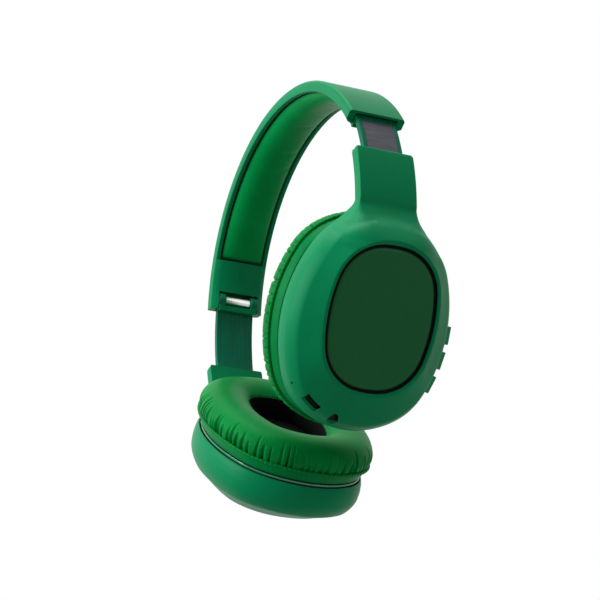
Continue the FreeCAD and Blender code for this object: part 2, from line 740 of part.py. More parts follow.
def make_hinge_box(side):
    """Box under the band end: two cheeks that hold the pin, a face and a top wall."""
    body = new_body("HingeBox" + side)
    radius = dim.band_radius
    half = dim.band_width / 2
    inner = dim.box_cheek_inner
    top = radius - dim.band_wall - dim.pin_press
    edge = radius - dim.box_edge_depth
    face = radius - dim.box_depth
    end = dim.pin_back / radius * DEGREES
    start = end - dim.box_length / radius * DEGREES
    length = dim.box_length / radius * DEGREES
    front = [(top, inner), (top, half), (edge, half), (face, inner)]
    back = [(top, -inner), (top, -half), (edge, -half), (face, -inner)]
    plate = box_corners(face, face + dim.box_face_wall, -inner, inner)
    under = radius - dim.frame_depth
    wall = box_corners(face, under, -inner, inner)
    window = dim.window_length / radius * DEGREES
    thick = dim.box_face_wall / radius * DEGREES
    revolve(body, "TopWall", wall, start, thick)
    revolve(body, "Face", plate, start, length - window)
    revolve(body, "FrontCheek", front, start, length)
    revolve(body, "BackCheek", back, start, length)
    bore = dim.pin_axle_radius + dim.pin_press
    reach = (dim.pin_half_length + dim.pin_press) * 2
    cut_across(body, "PinBore", lambda s: draw_circle(s, pin_orbit, 0, bore), reach)
    add_part(body, side + "_hinge_box", box_place(side))


def make_ear_mark(side):
    """The mark stands out of the middle of the box face, towards the head."""
    face = dim.band_radius.number - dim.box_depth.number
    middle = (dim.box_length.number + dim.window_length.number) / 2 - dim.pin_back.number
    lean = turn_y(-middle / face * DEGREES)
    seat = lean.multiply(shift(face, 0))
    mark = moved(ear_mark(side), seat)
    skin = []
    for radius in (face - 0.01, face - dim.mark_relief.number):
        skin.append(Part.makeCylinder(radius, 60, Vector(0, -30, 0), Vector(0, 1, 0)))
    solid_part(side + "_ear_mark", mark.common(skin[0]).cut(skin[1]), box_place(side))


def make_pin(side):
    """Steel hinge pin: a thick barrel between the ears, a thin axle in ears and cheeks."""
    body = new_body("HingePin" + side)
    axle = dim.pin_axle_radius
    barrel = dim.pin_radius
    end = dim.pin_half_length
    shoulder = dim.ear_inner - dim.pin_shoulder_gap
    outline = [
        (0, -end), (axle, -end), (axle, -shoulder), (barrel, -shoulder),
        (barrel, shoulder), (axle, shoulder), (axle, end), (0, end),
    ]
    revolve(body, "Turned", outline, 0, 360)
    centred = shift(pin_orbit.number, 0)
    add_part(body, side + "_hinge_pin", box_place(side).multiply(centred))


# Arms: knuckle, washers, strip and inlaid plate.

def make_knuckle(side):
    """Forked knuckle that turns on the pin and grips the top of the strip."""
    body = new_body("Knuckle" + side)
    wide = dim.ear_outer * 2
    strip_in = strip_outset - dim.strip_wall - dim.pin_running
    strip_top = dim.bar_top + dim.bar_roof
    pad_across(body, "Ears", lambda s: draw_circle(s, 0, 0, dim.ear_radius), wide)
    bar = box_corners(-dim.bar_inner, strip_outset, -dim.bar_bottom, 0)
    pad_across(body, "Bar", lambda s: draw_corners(s, bar), wide)
    reach = dim.ear_radius * 2
    gap = box_corners(-reach, reach, -dim.bar_top, reach)
    cut_across(body, "Fork", lambda s: draw_corners(s, gap), dim.ear_inner * 2)
    seat = box_corners(strip_in, reach, -dim.bar_bottom * 2, -strip_top)
    seat_wide = dim.strip_width + dim.pin_running * 2
    cut_across(body, "StripSeat", lambda s: draw_corners(s, seat), seat_wide)
    bore = dim.pin_axle_radius + dim.pin_running
    cut_across(body, "PinBore", lambda s: draw_circle(s, 0, 0, bore), wide * 2)
    add_part(body, side + "_knuckle", arm_place(side))


def make_washers(side):
    """Two spring washers that give the hinge its friction."""
    rings = []
    gap = dim.box_cheek_inner.number - dim.ear_outer.number
    low = dim.ear_outer.number + (gap - dim.washer_wall.number) / 2
    bore = dim.pin_axle_radius.number + dim.pin_running.number
    for start in (low, -low - dim.washer_wall.number):
        base = Vector(0, start, 0)
        outer = Part.makeCylinder(
            dim.washer_radius.number, dim.washer_wall.number, base, Vector(0, 1, 0))
        inner = Part.makeCylinder(bore, dim.washer_wall.number, base, Vector(0, 1, 0))
        rings.append(outer.cut(inner))
    solid_part(side + "_hinge_washers", Part.makeCompound(rings), arm_place(side))


def make_strip(side):
    """Curved slider strip with two rails that frame the inlaid plate."""
    body = new_body("SliderStrip" + side)
    high = dim.strip_radius
    floor = high - dim.plate_recess
    low = high - dim.strip_wall
    half = dim.strip_width / 2
    rail = half - dim.rail_width
    top = dim.pin_back - dim.bar_top - dim.bar_roof - dim.pin_running
    start = -top / high * DEGREES
    sweep = (dim.strip_length + top) / high * DEGREES
    revolve(body, "Core", box_corners(low, floor, -half, half), start, sweep)
    revolve(body, "FrontRail", box_corners(floor, high, rail, half), start, sweep)
    revolve(body, "BackRail", box_corners(floor, high, -half, -rail), start, sweep)
    head = (top + dim.plate_top) / high * DEGREES
    revolve(body, "Head", box_corners(floor, high, -rail, rail), start, head)
    add_part(body, side + "_slider_strip", strip_place(side))


def make_plate(side):
    """Brushed metal plate let into the outside of the strip."""
    body = new_body("SliderPlate" + side)
    low = dim.strip_radius - dim.plate_recess + dim.pin_press
    half = dim.strip_width / 2 - dim.rail_width - dim.pin_running
    start = (dim.plate_top + dim.pin_running) / dim.strip_radius * DEGREES
    sweep = dim.plate_length / dim.strip_radius * DEGREES
    outline = box_corners(low, low + dim.plate_wall, -half, half)
    revolve(body, "Plate", outline, start, sweep)
    add_part(body, side + "_slider_plate", strip_place(side))


# Neck: sections along the strip's arc, then down into the cup.

def neck_section(x_low, x_high, half_width, outer_round, inner_round, place):
    """A rectangle in X and Y with rounded corners, put in place in the neck frame."""
    corners = [
        (x_low, -half_width, inner_round), (x_high, -half_width, outer_round),
        (x_high, half_width, outer_round), (x_low, half_width, inner_round),
    ]
    edges = []
    starts = []
    ends = []
    count = len(corners)
    for index, (x, y, radius) in enumerate(corners):
        before = corners[index - 1]
        after = corners[(index + 1) % count]
        here = Vector(x, y, 0)
        back = (Vector(before[0], before[1], 0) - here).normalize()
        onward = (Vector(after[0], after[1], 0) - here).normalize()
        middle = here + (back + onward) * radius * (1 - math.sqrt(0.5))
        starts.append(here + back * radius)
        ends.append(here + onward * radius)
        arc = Part.Arc(starts[-1], middle, ends[-1])
        edges.append(arc.toShape())
    for index in range(count):
        straight = Part.LineSegment(ends[index], starts[(index + 1) % count])
        edges.insert(2 * index + 1, straight.toShape())
    wire = Part.Wire(edges)
    return moved(wire, place)


def neck_station(travel):
    """Frame of a section this far down the curved neck."""
    return turn_y(travel / dim.strip_radius.number * DEGREES)


def cup_station(drop):
    """Frame of a section at this height in the cup frame."""
    return cup_in_neck().multiply(shift(0, drop))


FLARE_STEPS = 7


def eased(share):
    """Rises from 0 to 1 with a level start and a level end."""
    share = min(share, 1.0)
    return share * share * (3 - 2 * share)


def flare_sections():
    """The flare's height in the cup frame, outer face, half width and edge rounding."""
    sections = []
    for step in range(1, FLARE_STEPS + 1):
        share = step / FLARE_STEPS
        lift = eased(share * dim.flare_lift.number)
        spread = eased(share * dim.flare_spread.number)
        sections.append((
            dim.neck_to_cup.number + (dim.flare_foot.number - dim.neck_to_cup.number) * share,
            dim.neck_out.number + (dim.flare_face.number - dim.neck_out.number) * lift,
            dim.neck_half_width.number
            + (dim.flare_half_width.number - dim.neck_half_width.number) * spread,
            dim.neck_round.number + (dim.flare_round.number - dim.neck_round.number) * spread,
        ))
    return sections


def in_cup(shape):
    """Moves a shape from the neck frame into the cup frame."""
    return moved(shape, cup_in_neck().inverse())


def neck_arc(low, high, half_width, outer_round, inner_round, first, last):
    """A bar with a rounded rectangular section, swept along the neck's curve."""
    radius = dim.strip_radius.number
    start = neck_station(first)
    wire = neck_section(radius + low, radius + high, half_width, outer_round, inner_round, start)
    sweep = (last - first) / radius * DEGREES
    return Part.Face(wire).revolve(Vector(), Vector(0, 1, 0), sweep)


def neck_flare(trim_side, trim_out, low, back):
    """The neck's spread from its lower end into the dome, or its hollow when trimmed."""
    radius = dim.strip_radius.number
    out = dim.neck_out.number - trim_out
    half = dim.neck_half_width.number - trim_side
    top = dim.cavity_top.number if trim_out else dim.cup_top.number
    mouth = neck_station(dim.neck_length.number)
    inner = dim.neck_inner_round.number
    corner = dim.neck_hollow_round.number if trim_side else dim.neck_round.number
    wires = [neck_section(radius + low, radius + out, half, corner, inner, mouth)]
    for height, face, wide, turn in flare_sections():
        high = min(face - trim_out, top)
        corner = min(turn, high - back - 2 * inner)
        wires.append(neck_section(
            back, high, wide - trim_side, corner, inner, cup_station(height)))
    return Part.makeLoft(wires, True, False)


def make_cup_outer():
    """Solid dome of the cup with its neck, before it is hollowed out."""
    dome = oval_loft([(level, outline_at(level)) for level, _, _ in outer_profile()], ruled=True)
    low = dim.neck_out.number - dim.neck_wall.number
    flare = neck_flare(0, 0, low, -dim.cup_back.number)
    bar = neck_arc(
        low, dim.neck_out.number, dim.neck_half_width.number, dim.neck_round.number,
        dim.neck_inner_round.number, 0.0, dim.neck_length.number)
    return dome.multiFuse([in_cup(flare), in_cup(bar)])


def cup_cavity():
    """Hollow of the dome, open towards the ear."""
    wall = dim.cup_wall.number
    back = -dim.cup_back.number
    shoulder = dim.shoulder_level.number
    top = dim.cavity_top.number
    run = dim.dome_share.number - dim.shoulder_share.number
    run = run * (rim_oval.half_width - lip_oval.half_width)
    rise = dim.dome_level.number - shoulder
    slanted_wall = wall * math.hypot(run, rise) / rise
    return oval_loft([
        (back - 1, outline_at(back).grown(-wall)),
        (dim.rim_level.number, rim_oval.grown(-wall)),
        (shoulder - wall / 2, outline_at(shoulder).grown(-wall)),
        (top, outline_at(top).grown(-slanted_wall)),
    ], ruled=True)


def neck_hollow():
    """Solids that hollow the neck, with a window on the side towards the head."""
    side = dim.neck_cheek.number
    half = dim.neck_half_width.number - side
    skin = dim.neck_skin.number
    beyond = dim.neck_out.number - dim.neck_wall.number - 1
    length = dim.neck_length.number
    back = dim.neck_back_wall.number - dim.cup_back.number
    edge = dim.neck_hollow_round.number
    bar = neck_arc(
        beyond, dim.neck_out.number - skin, half, edge, edge / 2, dim.neck_cap.number, length)
    flare = neck_flare(side, skin, beyond + 1, back)
    rise = dim.neck_to_cup.number - dim.neck_window.number
    reach = back + 1.6
    window = Part.makeBox(
        reach + 8, 2 * half, rise, Vector(-8, -half, dim.neck_window.number))
    return [in_cup(flare), in_cup(bar), window]


def arc_block(low, high, half_width, first, last):
    """A curved block around the strip's arc centre, between two travels."""
    radius = dim.strip_radius.number
    start = neck_station(first)
    corners = box_corners(radius + low, radius + high, -half_width, half_width)
    points = [start.multVec(Vector(x, y, 0)) for x, y in corners]
    face = Part.Face(Part.makePolygon(points + points[:1]))
    return face.revolve(Vector(), Vector(0, 1, 0), (last - first) / radius * DEGREES)


def screw_spots():
    """Screw positions in Y and Z of the cup frame."""
    span = dim.screw_half_span.number
    middle = -dim.cup_drop.number
    heights = (middle + dim.screw_rise.number, middle - dim.screw_fall.number)
    return [(side * span, height) for height in heights for side in (1, -1)]


def post(radius, low, high, y, z):
    return Part.makeCylinder(radius, high - low, Vector(low, y, z), Vector(1, 0, 0))


def button_place(index):
    """Frame of one button on the front of the rim wall."""
    level = dim.button_level.number
    travel = dim.button_first.number + index * dim.button_pitch.number
    return rim_frame(outline_at(level).angle_at(travel), level)


def usb_place():
    return rim_frame(dim.usb_angle.number, dim.usb_level.number)


def aux_place():
    """Frame of the audio jack, leaned about the cup's X so that its plug points more down."""
    place = rim_frame(dim.aux_angle.number, dim.aux_level.number)
    lean = FreeCAD.Rotation(Vector(0, 0, 1), dim.aux_lean.number)
    return place.multiply(FreeCAD.Placement(Vector(0, 0, 0), lean))


def mic_place():
    return rim_frame(dim.mic_angle.number, dim.mic_level.number)


def block_at(place, x_low, x_high, half_along, half_across):
    """A block in a rim frame: X out of the wall, Y around the rim, Z along the cup's X."""
    block = Part.makeBox(
        x_high - x_low, 2 * half_along, 2 * half_across,
        Vector(x_low, -half_along, -half_across))
    block.Placement = place
    return block


def round_at(place, x_low, x_high, radius):
    rod = Part.makeCylinder(radius, x_high - x_low, Vector(x_low, 0, 0), Vector(1, 0, 0))
    rod.Placement = place
    return rod


def side_openings():
    """Button slots and port holes, cut through the right housing only."""
    cuts = []
    gap = dim.button_gap.number
    beyond = 2 * dim.boss_radius.number
    for index in range(3):
        cuts.append(block_at(
            button_place(index), -dim.button_stem.number, beyond,
            dim.button_length.number / 2 + gap, dim.button_width.number / 2 + gap))
    cuts.append(block_at(
        usb_place(), -dim.usb_depth.number - dim.port_inset.number, beyond,
        dim.usb_width.number / 2, dim.usb_height.number / 2))
    running = dim.pin_running.number
    shoulder = -dim.port_inset.number - dim.aux_nose_length.number
    deep = -dim.port_inset.number - dim.aux_length.number - dim.cup_wall.number
    cuts.append(round_at(aux_place(), shoulder, beyond, dim.aux_nose.number + running))
    cuts.append(round_at(aux_place(), deep, shoulder + running, dim.aux_barrel.number + running))
    cuts.append(round_at(mic_place(), -beyond, beyond, dim.mic_hole.number))
    return cuts


def make_outer_housing(side):
    """Dome and neck in one moulding, hollowed, with screw bosses and a cover recess."""
    shell = make_cup_outer()
    for hollow in [cup_cavity()] + neck_hollow():
        shell = shell.cut(hollow)
    gap = dim.slide_gap.number
    slot = arc_block(
        -dim.strip_wall.number - gap, gap, dim.strip_width.number / 2 + gap, -1.0, 4.0)
    shell = shell.cut(in_cup(slot))
    foot = -dim.baffle_front.number
    top = dim.cavity_top.number + dim.fit_gap.number
    bore = dim.screw_radius.number + dim.pin_running.number
    bosses = []
    bores = []
    for y, z in screw_spots():
        bosses.append(post(dim.boss_radius.number, foot, top, y, z))
        bores.append(post(bore, foot, dim.screw_reach.number + 1, y, z))
    shell = shell.multiFuse(bosses)
    recess = recess_oval.plate(dim.cover_floor.number, dim.cup_top.number + 5)
    shell = shell.cut(Part.makeCompound([recess] + bores))
    if side == "right":
        shell = shell.cut(Part.makeCompound(side_openings()))
    solid_part(side + "_outer_housing", shell.removeSplitter(), cup_place(side))


def make_neck_cover(side):
    """Thin plate that closes the neck on the side towards the head."""
    radius = dim.strip_radius.number
    low = dim.neck_out.number - dim.neck_wall.number
    high = low + dim.neck_cover_wall.number
    half = dim.neck_half_width.number - dim.neck_cheek.number - dim.fit_gap.number
    length = dim.neck_length.number
    first = dim.neck_cap.number + dim.fit_gap.number
    edge = dim.neck_hollow_round.number / 2
    curve = neck_arc(low, high, half, edge, edge, first, length)
    back = -dim.cup_back.number
    front = back + dim.neck_cover_wall.number
    end = dim.neck_window.number + dim.fit_gap.number
    wires = [
        neck_section(radius + low, radius + high, half, edge, edge, neck_station(length)),
        neck_section(back, front, half, edge, edge, cup_station(end)),
    ]
    plate = curve.fuse(Part.makeLoft(wires, True, True))
    solid_part(side + "_neck_cover", in_cup(plate), cup_place(side))


def make_guides(side):
    """Two rails inside the neck that the strip's edges run between."""
    near = dim.strip_width.number / 2 + dim.slide_gap.number
    far = dim.neck_half_width.number - dim.neck_cheek.number - 0.1
    middle = (near + far) / 2
    first = dim.neck_cap.number + 0.1
    last = first + dim.guide_length.number
    rail = arc_block(-dim.strip_wall.number, 0.0, (far - near) / 2, first, last)
    rails = []
    for place in (middle, -middle):
        copy = rail.copy()
        copy.translate(Vector(0, place, 0))
        rails.append(copy)
    solid_part(side + "_slider_guides", in_cup(Part.makeCompound(rails)), cup_place(side))


def make_cover(side):
    """Oval cover plate with a bevelled edge, lying in the recess of the housing."""
    plate = recess_oval.grown(-dim.cover_gap.number)
    bevel = dim.cover_edge_bevel.number
    high = dim.cover_face.number
    stations = [
        (dim.cover_floor.number, plate), (high - bevel / 2, plate),
        (high - bevel / 4, plate.grown(-bevel / 4)), (high, plate.grown(-bevel)),
    ]
    solid_part(side + "_cup_cover", oval_loft(stations, ruled=True), cup_place(side))


# Ear side: baffle, trim ring, cushion flange, cushion.

def ring_plate(low, high, outer_inset, inner_inset):
    """A ring between two heights along X, cut from the rim's oval."""
    outer = rim_oval.grown(-outer_inset).plate(low, high)
    inner = rim_oval.grown(-inner_inset).plate(low - 1, high + 1)
    return outer.cut(inner)


def make_baffle(side):
    """Plate that closes the housing and carries the speaker, with a spigot for the rings."""
    back = -dim.baffle_back.number
    front = -dim.baffle_front.number
    inset = dim.cup_back_inset.number + dim.cup_wall.number + dim.fit_gap.number
    plate = rim_oval.grown(-inset).plate(back, front)
    spigot = ring_plate(
        -dim.spigot_depth.number, back, dim.spigot_inset.number,
        dim.spigot_inset.number + dim.spigot_wall.number)
    baffle = plate.fuse(spigot)
    gap = dim.fit_gap.number
    drop = -dim.driver_drop.number
    holes = [post(dim.driver_radius.number + gap, back - 1, front + 1, 0, drop)]
    for y, z in screw_spots():
        holes.append(post(dim.screw_radius.number + gap, back - 1, front + 1, y, z))
    baffle = baffle.cut(Part.makeCompound(holes))
    solid_part(side + "_baffle", baffle.removeSplitter(), cup_place(side))


def make_trim_ring(side):
    """Thin glossy ring between two grooves, around the spigot."""
    ring = ring_plate(
        -dim.ring_back.number, -dim.ring_front.number, dim.ring_inset.number,
        dim.spigot_inset.number - 0.1)
    solid_part(side + "_trim_ring", ring, cup_place(side))


def make_cushion_flange(side):
    """Ring that carries the cushion, flared towards the welt, with an oval opening."""
    front = -dim.flange_front.number
    back = -dim.flange_back.number
    outer = oval_loft([
        (back, rim_oval), (front, rim_oval.grown(-dim.flange_inset.number)),
    ], ruled=True)
    seat = rim_oval.grown(0.1 - dim.spigot_inset.number)
    seat_plate = seat.plate(-dim.spigot_depth.number - 0.1, front + 1)
    opening = well_oval.grown(dim.flange_clearance.number).plate(back - 1, front + 1)
    ring = outer.cut(seat_plate).cut(opening)
    solid_part(side + "_cushion_flange", ring, cup_place(side))


def make_scrim(side):
    """Cloth stretched over the opening inside the cushion."""
    low = -dim.spigot_depth.number
    inset = dim.spigot_inset.number + dim.spigot_wall.number + dim.fit_gap.number
    scrim = rim_oval.grown(-inset).plate(low, low + dim.scrim_wall.number)
    solid_part(side + "_ear_scrim", scrim, cup_place(side))


def make_cushion(side):
    """Ear cushion: drawn-in outer side, round crown and an oval ear opening."""
    base = -dim.flange_back.number - dim.soft_gap.number
    tall = dim.cushion_face.number + base
    bulge = dim.cushion_bulge.number
    run = dim.cushion_crown_run.number
    steps = 8
    outside = []
    inside = []
    for step in range(steps + 1):
        share = step / steps
        swell = bulge * math.sin(math.pi * min(share / 0.7, 1.0))
        fall = run * max(0.0, 2 * share - 1) ** 2.6
        outside.append((base - tall * share, rim_oval.grown(swell - fall)))
        beyond = 1.04 * share - 0.02
        spread = dim.well_flare.number * max(0.0, 2 * beyond - 1) ** 2.6
        inside.append((base - tall * beyond, well_oval.grown(spread)))
    ring = oval_loft(outside).cut(oval_loft(inside))
    solid_part(side + "_ear_cushion", ring, cup_place(side))


# Speaker.

def make_driver_frame(side):
    """Speaker frame: flange on the baffle and a basket through it."""
    body = new_body("DriverFrame" + side)
    drop = -dim.driver_drop
    back = -dim.baffle_back
    flange = back - dim.driver_flange_wall
    reach = dim.driver_reach
    inner = dim.driver_radius - dim.driver_wall
    pad_outward(
        body, "Flange", lambda s: draw_circle(s, 0, drop, dim.driver_flange_radius), flange, back)
    pad_outward(
        body, "Basket", lambda s: draw_circle(s, 0, drop, dim.driver_radius), back, reach)
    pad_outward(
        body, "Hollow", lambda s: draw_circle(s, 0, drop, inner),
        flange, reach - dim.driver_wall, cut=True)
    add_part(body, side + "_driver_frame", cup_place(side))


def make_magnet(side):
    """Round magnet on the back of the speaker."""
    magnet = doc.addObject("Part::Cylinder", "Magnet" + side)
    bound(magnet, Radius=dim.magnet_radius, Height=dim.magnet_wall)
    seat = Placement(
        Vector(dim.driver_reach.number, 0, -dim.driver_drop.number),
        Rotation(Vector(0, 1, 0), 90))
    add_part(magnet, side + "_driver_magnet", cup_place(side).multiply(seat))


def make_diaphragm(side):
    """Shallow domed film with a flat edge, turned about the speaker's axis."""
    body = new_body("Diaphragm" + side)
    radius = dim.driver_radius - dim.driver_wall - dim.fit_gap
    low = -dim.baffle_back - dim.driver_flange_wall + dim.fit_gap
    bow = radius - dim.film_edge
    under = [(low, radius)]
    for share in (1.0, 0.75, 0.4, 0.0):
        under.append((low + dim.film_bow * (1 - share * share), bow * share))
    over = [(x + dim.film_wall, y) for x, y in reversed(under)]
    sketch = new_sketch(body, "XY_Plane", "Film_outline")
    draw_corners(sketch, under + over)
    film = body.newObject("PartDesign::Revolution", "Film")
    film.Profile = sketch
    film.ReferenceAxis = (sketch, ["H_Axis"])
    film.Angle = 360
    drop = shift(0, -dim.driver_drop.number)
    add_part(body, side + "_driver_diaphragm", cup_place(side).multiply(drop))


def make_grille(side):
    """Guard over the speaker, with a ring of holes made as a polar pattern."""
    body = new_body("DriverGrille" + side)
    front = -dim.baffle_back - dim.driver_flange_wall
    back = front - dim.grille_wall
    pad_outward(
        body, "Disc", lambda s: draw_circle(s, 0, 0, dim.driver_flange_radius), back, front)
    pad_outward(
        body, "CentreHole", lambda s: draw_circle(s, 0, 0, dim.grille_hole), back, front, cut=True)
    for index in (1, 2, 3):
        orbit = dim.grille_pitch * index
        hole = pad_outward(
            body, "Hole%d" % index, lambda s: draw_circle(s, orbit, 0, dim.grille_hole),
            back, front, cut=True)
        pattern = body.newObject("PartDesign::PolarPattern", "Holes%d" % index)
        pattern.Originals = [hole]
        for item in body.Origin.OriginFeatures:
            if item.Role == "X_Axis":
                pattern.Axis = (item, [""])
        pattern.Angle = 360
        pattern.Occurrences = 6 * index
        body.Tip = pattern
    drop = shift(0, -dim.driver_drop.number)
    add_part(body, side + "_driver_grille", cup_place(side).multiply(drop))


def make_screws(side):
    """Four screws that hold the baffle to the housing's bosses."""
    back = -dim.baffle_back.number
    screws = []
    low = back - dim.screw_head_wall.number
    wide = dim.screw_slot.number
    long = dim.screw_slot_length.number
    for y, z in screw_spots():
        head = post(dim.screw_head_radius.number, low, back, y, z)
        shank = post(dim.screw_radius.number, back - 0.5, dim.screw_reach.number, y, z)
        slot = Part.makeBox(wide, long, wide, Vector(low, y - long / 2, z - wide / 2))
        cross = Part.makeBox(wide, wide, long, Vector(low, y - wide / 2, z - long / 2))
        screws.append(head.fuse(shank).cut(slot).cut(cross))
    solid_part(side + "_cup_screws", Part.makeCompound(screws), cup_place(side))


# Electronics.

def deck_height():
    """Height of whatever lies on the back of the magnet."""
    return dim.driver_reach + dim.magnet_wall


def make_battery():
    """Pouch battery on the back of the left speaker."""
    battery = doc.addObject("Part::Box", "Battery")
    bound(
        battery, Length=dim.battery_wall, Width=dim.battery_half_width * 2,
        Height=dim.battery_half_height * 2)
    corner = Vector(
        deck_height().number + 0.1, -dim.battery_half_width.number,
        -dim.driver_drop.number - dim.battery_half_height.number)
    add_part(battery, "battery", cup_place("left").multiply(Placement(corner, Rotation())))


def make_board():
    """Circuit board on the back of the right speaker."""
    board = doc.addObject("Part::Box", "CircuitBoard")
    bound(
        board, Length=dim.board_wall, Width=dim.board_half_width * 2,
        Height=dim.board_above + dim.board_below)
    corner = Vector(
        deck_height().number + 0.1, -dim.board_half_width.number,
        -dim.driver_drop.number - dim.board_below.number)
    add_part(board, "circuit_board", cup_place("right").multiply(Placement(corner, Rotation())))


BUTTONS = ("volume_up_button", "multifunction_button", "volume_down_button")


def make_button(index):
    """Rubber-capped button with a retaining foot inside the wall."""
    body = new_body("Button%d" % index)
    along = dim.button_length / 2
    across = dim.button_width / 2
    foot = dim.button_gap * 3
    stem_end = -dim.button_stem
    foot_end = stem_end - dim.button_foot
    cap = box_corners(-along, along, -across, across)
    heel = box_corners(-along - foot, along + foot, -across - foot, across + foot)
    pad_outward(body, "Foot", lambda s: draw_corners(s, heel), foot_end, stem_end)
    stem = pad_outward(body, "Cap", lambda s: draw_corners(s, cap), stem_end, dim.button_proud)
    doc.recompute()
    rounding = body.newObject("PartDesign::Fillet", "Rounding")
    rim = []
    for number, edge in enumerate(stem.Shape.Edges, start=1):
        if edge.BoundBox.XMin > dim.button_proud.number - 0.01:
            rim.append("Edge%d" % number)
    rounding.Base = (stem, rim)
    bound(rounding, Radius=dim.button_edge_round)
    body.Tip = rounding
    place = cup_place("right").multiply(button_place(index))
    add_part(body, BUTTONS[index], place)


def make_switches():
    """Tact switches behind the buttons, on a small flex board."""
    clicks = []
    start = -dim.button_stem.number - dim.button_foot.number
    start = start - dim.button_travel.number - dim.button_gap.number
    for index in range(3):
        place = button_place(index)
        clicks.append(block_at(place, start - 1.6, start, 2.4, 1.6))
    solid_part("button_switches", Part.makeCompound(clicks), cup_place("right"))


def below_surface(shape):
    """Trims a port's mouth to the slope of the dome, a little below its surface."""
    inset = dim.port_inset.number
    stations = [(x, outline_at(x).grown(-inset)) for x, _, _ in outer_profile()]
    return shape.common(oval_loft(stations, ruled=True))


def make_usb_socket():
    """Charging socket: a metal shroud with a tongue inside."""
    place = usb_place()
    width = dim.usb_width.number / 2
    height = dim.usb_height.number / 2
    depth = dim.usb_depth.number
    mouth = -dim.port_inset.number
    shroud = block_at(place, mouth - depth, mouth, width - 0.05, height - 0.05)
    room = block_at(place, mouth - depth + 0.8, mouth + 1, width - 0.4, height - 0.4)
    tongue = block_at(place, mouth - depth + 0.5, mouth - 1.2, width - 1.2, 0.35)
    socket = shroud.cut(room).fuse(tongue)
    solid_part("usb_socket", below_surface(socket), cup_place("right"))


def make_aux_jack():
    """Audio jack: a nose in the wall, a barrel behind it and a bore with a wider lead-in."""
    place = aux_place()
    mouth = -dim.port_inset.number
    shoulder = mouth - dim.aux_nose_length.number
    deep = mouth - dim.aux_length.number
    nose = round_at(place, shoulder - 1, mouth, dim.aux_nose.number)
    barrel = round_at(place, deep - 1.0, shoulder, dim.aux_barrel.number)
    lead_end = mouth - dim.aux_lead_length.number
    bore = round_at(place, deep, mouth, dim.aux_bore.number)
    lead = round_at(place, lead_end, mouth + 1, dim.aux_lead.number)
    jack = nose.fuse(barrel).cut(bore).cut(lead)
    solid_part("aux_jack", below_surface(jack), cup_place("right"))


def make_microphone():
    """Microphone capsule behind its hole in the rim."""
    place = mic_place()
    top = -dim.cup_wall.number - dim.mic_back.number
    capsule = round_at(place, top - 1.5, top, dim.mic_radius.number)
    solid_part("microphone", capsule, cup_place("right"))


make_band_shell()
make_band_frame()
make_band_spring()
make_band_wire()
make_headband_pad()
for side in SIDES:
    make_hinge_box(side)
    make_ear_mark(side)
    make_pin(side)
    make_knuckle(side)
    make_washers(side)
    make_strip(side)
    make_plate(side)
    make_outer_housing(side)
    make_neck_cover(side)
    make_guides(side)
    make_cover(side)
    make_baffle(side)
    make_trim_ring(side)
    make_cushion_flange(side)
    make_scrim(side)
    make_cushion(side)
    make_driver_frame(side)
    make_magnet(side)
    make_diaphragm(side)
    make_grille(side)
    make_screws(side)
make_battery()
make_board()
for index in range(3):
    make_button(index)
make_switches()
make_usb_socket()
make_aux_jack()
make_microphone()

doc.recompute()

for item in doc.Objects:
    if "Invalid" in item.State or "Error" in item.State:
        raise RuntimeError("%s could not be built: %s" % (item.Label, item.State))
for item in parts:
    if item.Shape.isNull() or not item.Shape.isValid():
        raise RuntimeError("%s has no valid shape" % item.Label)

os.makedirs("parts", exist_ok=True)
for item in parts:
    item.Shape.exportStep("parts/%s.step" % item.Label)
    count = len(item.Shape.Solids)
    print("%-24s solids %d volume %.1f mm3" % (item.Label, count, item.Shape.Volume))
print("nodes", len(parts))
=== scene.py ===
import math

import bmesh
import bpy
import numpy as np
from mathutils import Matrix, Vector


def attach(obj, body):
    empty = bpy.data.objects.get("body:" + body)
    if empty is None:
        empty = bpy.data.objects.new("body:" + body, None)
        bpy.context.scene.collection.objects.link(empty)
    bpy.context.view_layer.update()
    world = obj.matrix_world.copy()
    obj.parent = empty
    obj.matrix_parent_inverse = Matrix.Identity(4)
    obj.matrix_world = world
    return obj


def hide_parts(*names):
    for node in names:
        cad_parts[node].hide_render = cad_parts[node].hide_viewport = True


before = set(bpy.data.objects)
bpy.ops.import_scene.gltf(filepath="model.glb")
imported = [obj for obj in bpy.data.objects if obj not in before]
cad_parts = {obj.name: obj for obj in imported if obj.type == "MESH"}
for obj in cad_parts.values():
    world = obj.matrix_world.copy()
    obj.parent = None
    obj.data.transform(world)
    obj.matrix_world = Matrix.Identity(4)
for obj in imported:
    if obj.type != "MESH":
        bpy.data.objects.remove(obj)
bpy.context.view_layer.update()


# Headband shell.
# A curved strap of ABS moulded in one piece, with a raised rim along each side.
# It is sprayed with a soft-touch coat, which leaves it dull with a faint glow at its edges.

BAND_RADIUS = 89.2
BAND_HALF_ANGLE = 70.6
CROWN_DEPTH = 9.5
BOX_LENGTH = 27.0
# Depth of the side rims along the pad and at the hinge boxes.
RIM_DEPTH = 5.6
BOX_RIM_DEPTH = 1.75


def linear(code):
    """Turns an sRGB hex colour into the linear values that the shader takes."""
    values = []
    for place in (1, 3, 5):
        share = int(code[place:place + 2], 16) / 255
        values.append(share / 12.92 if share <= 0.04045 else ((share + 0.055) / 1.055) ** 2.4)
    return (*values, 1.0)


def per_mm(size):
    """Texture scale at which one feature is this many millimetres long."""
    return 1000.0 / size


def new_material(name):
    """A node material, its shader, and the link that lays a texture on it in its own space."""
    material = bpy.data.materials.new(name)
    material.use_nodes = True
    place = add_node(material, "TexCoord")
    return material, material.node_tree.nodes["Principled BSDF"], [(place, "Object", "Vector")]


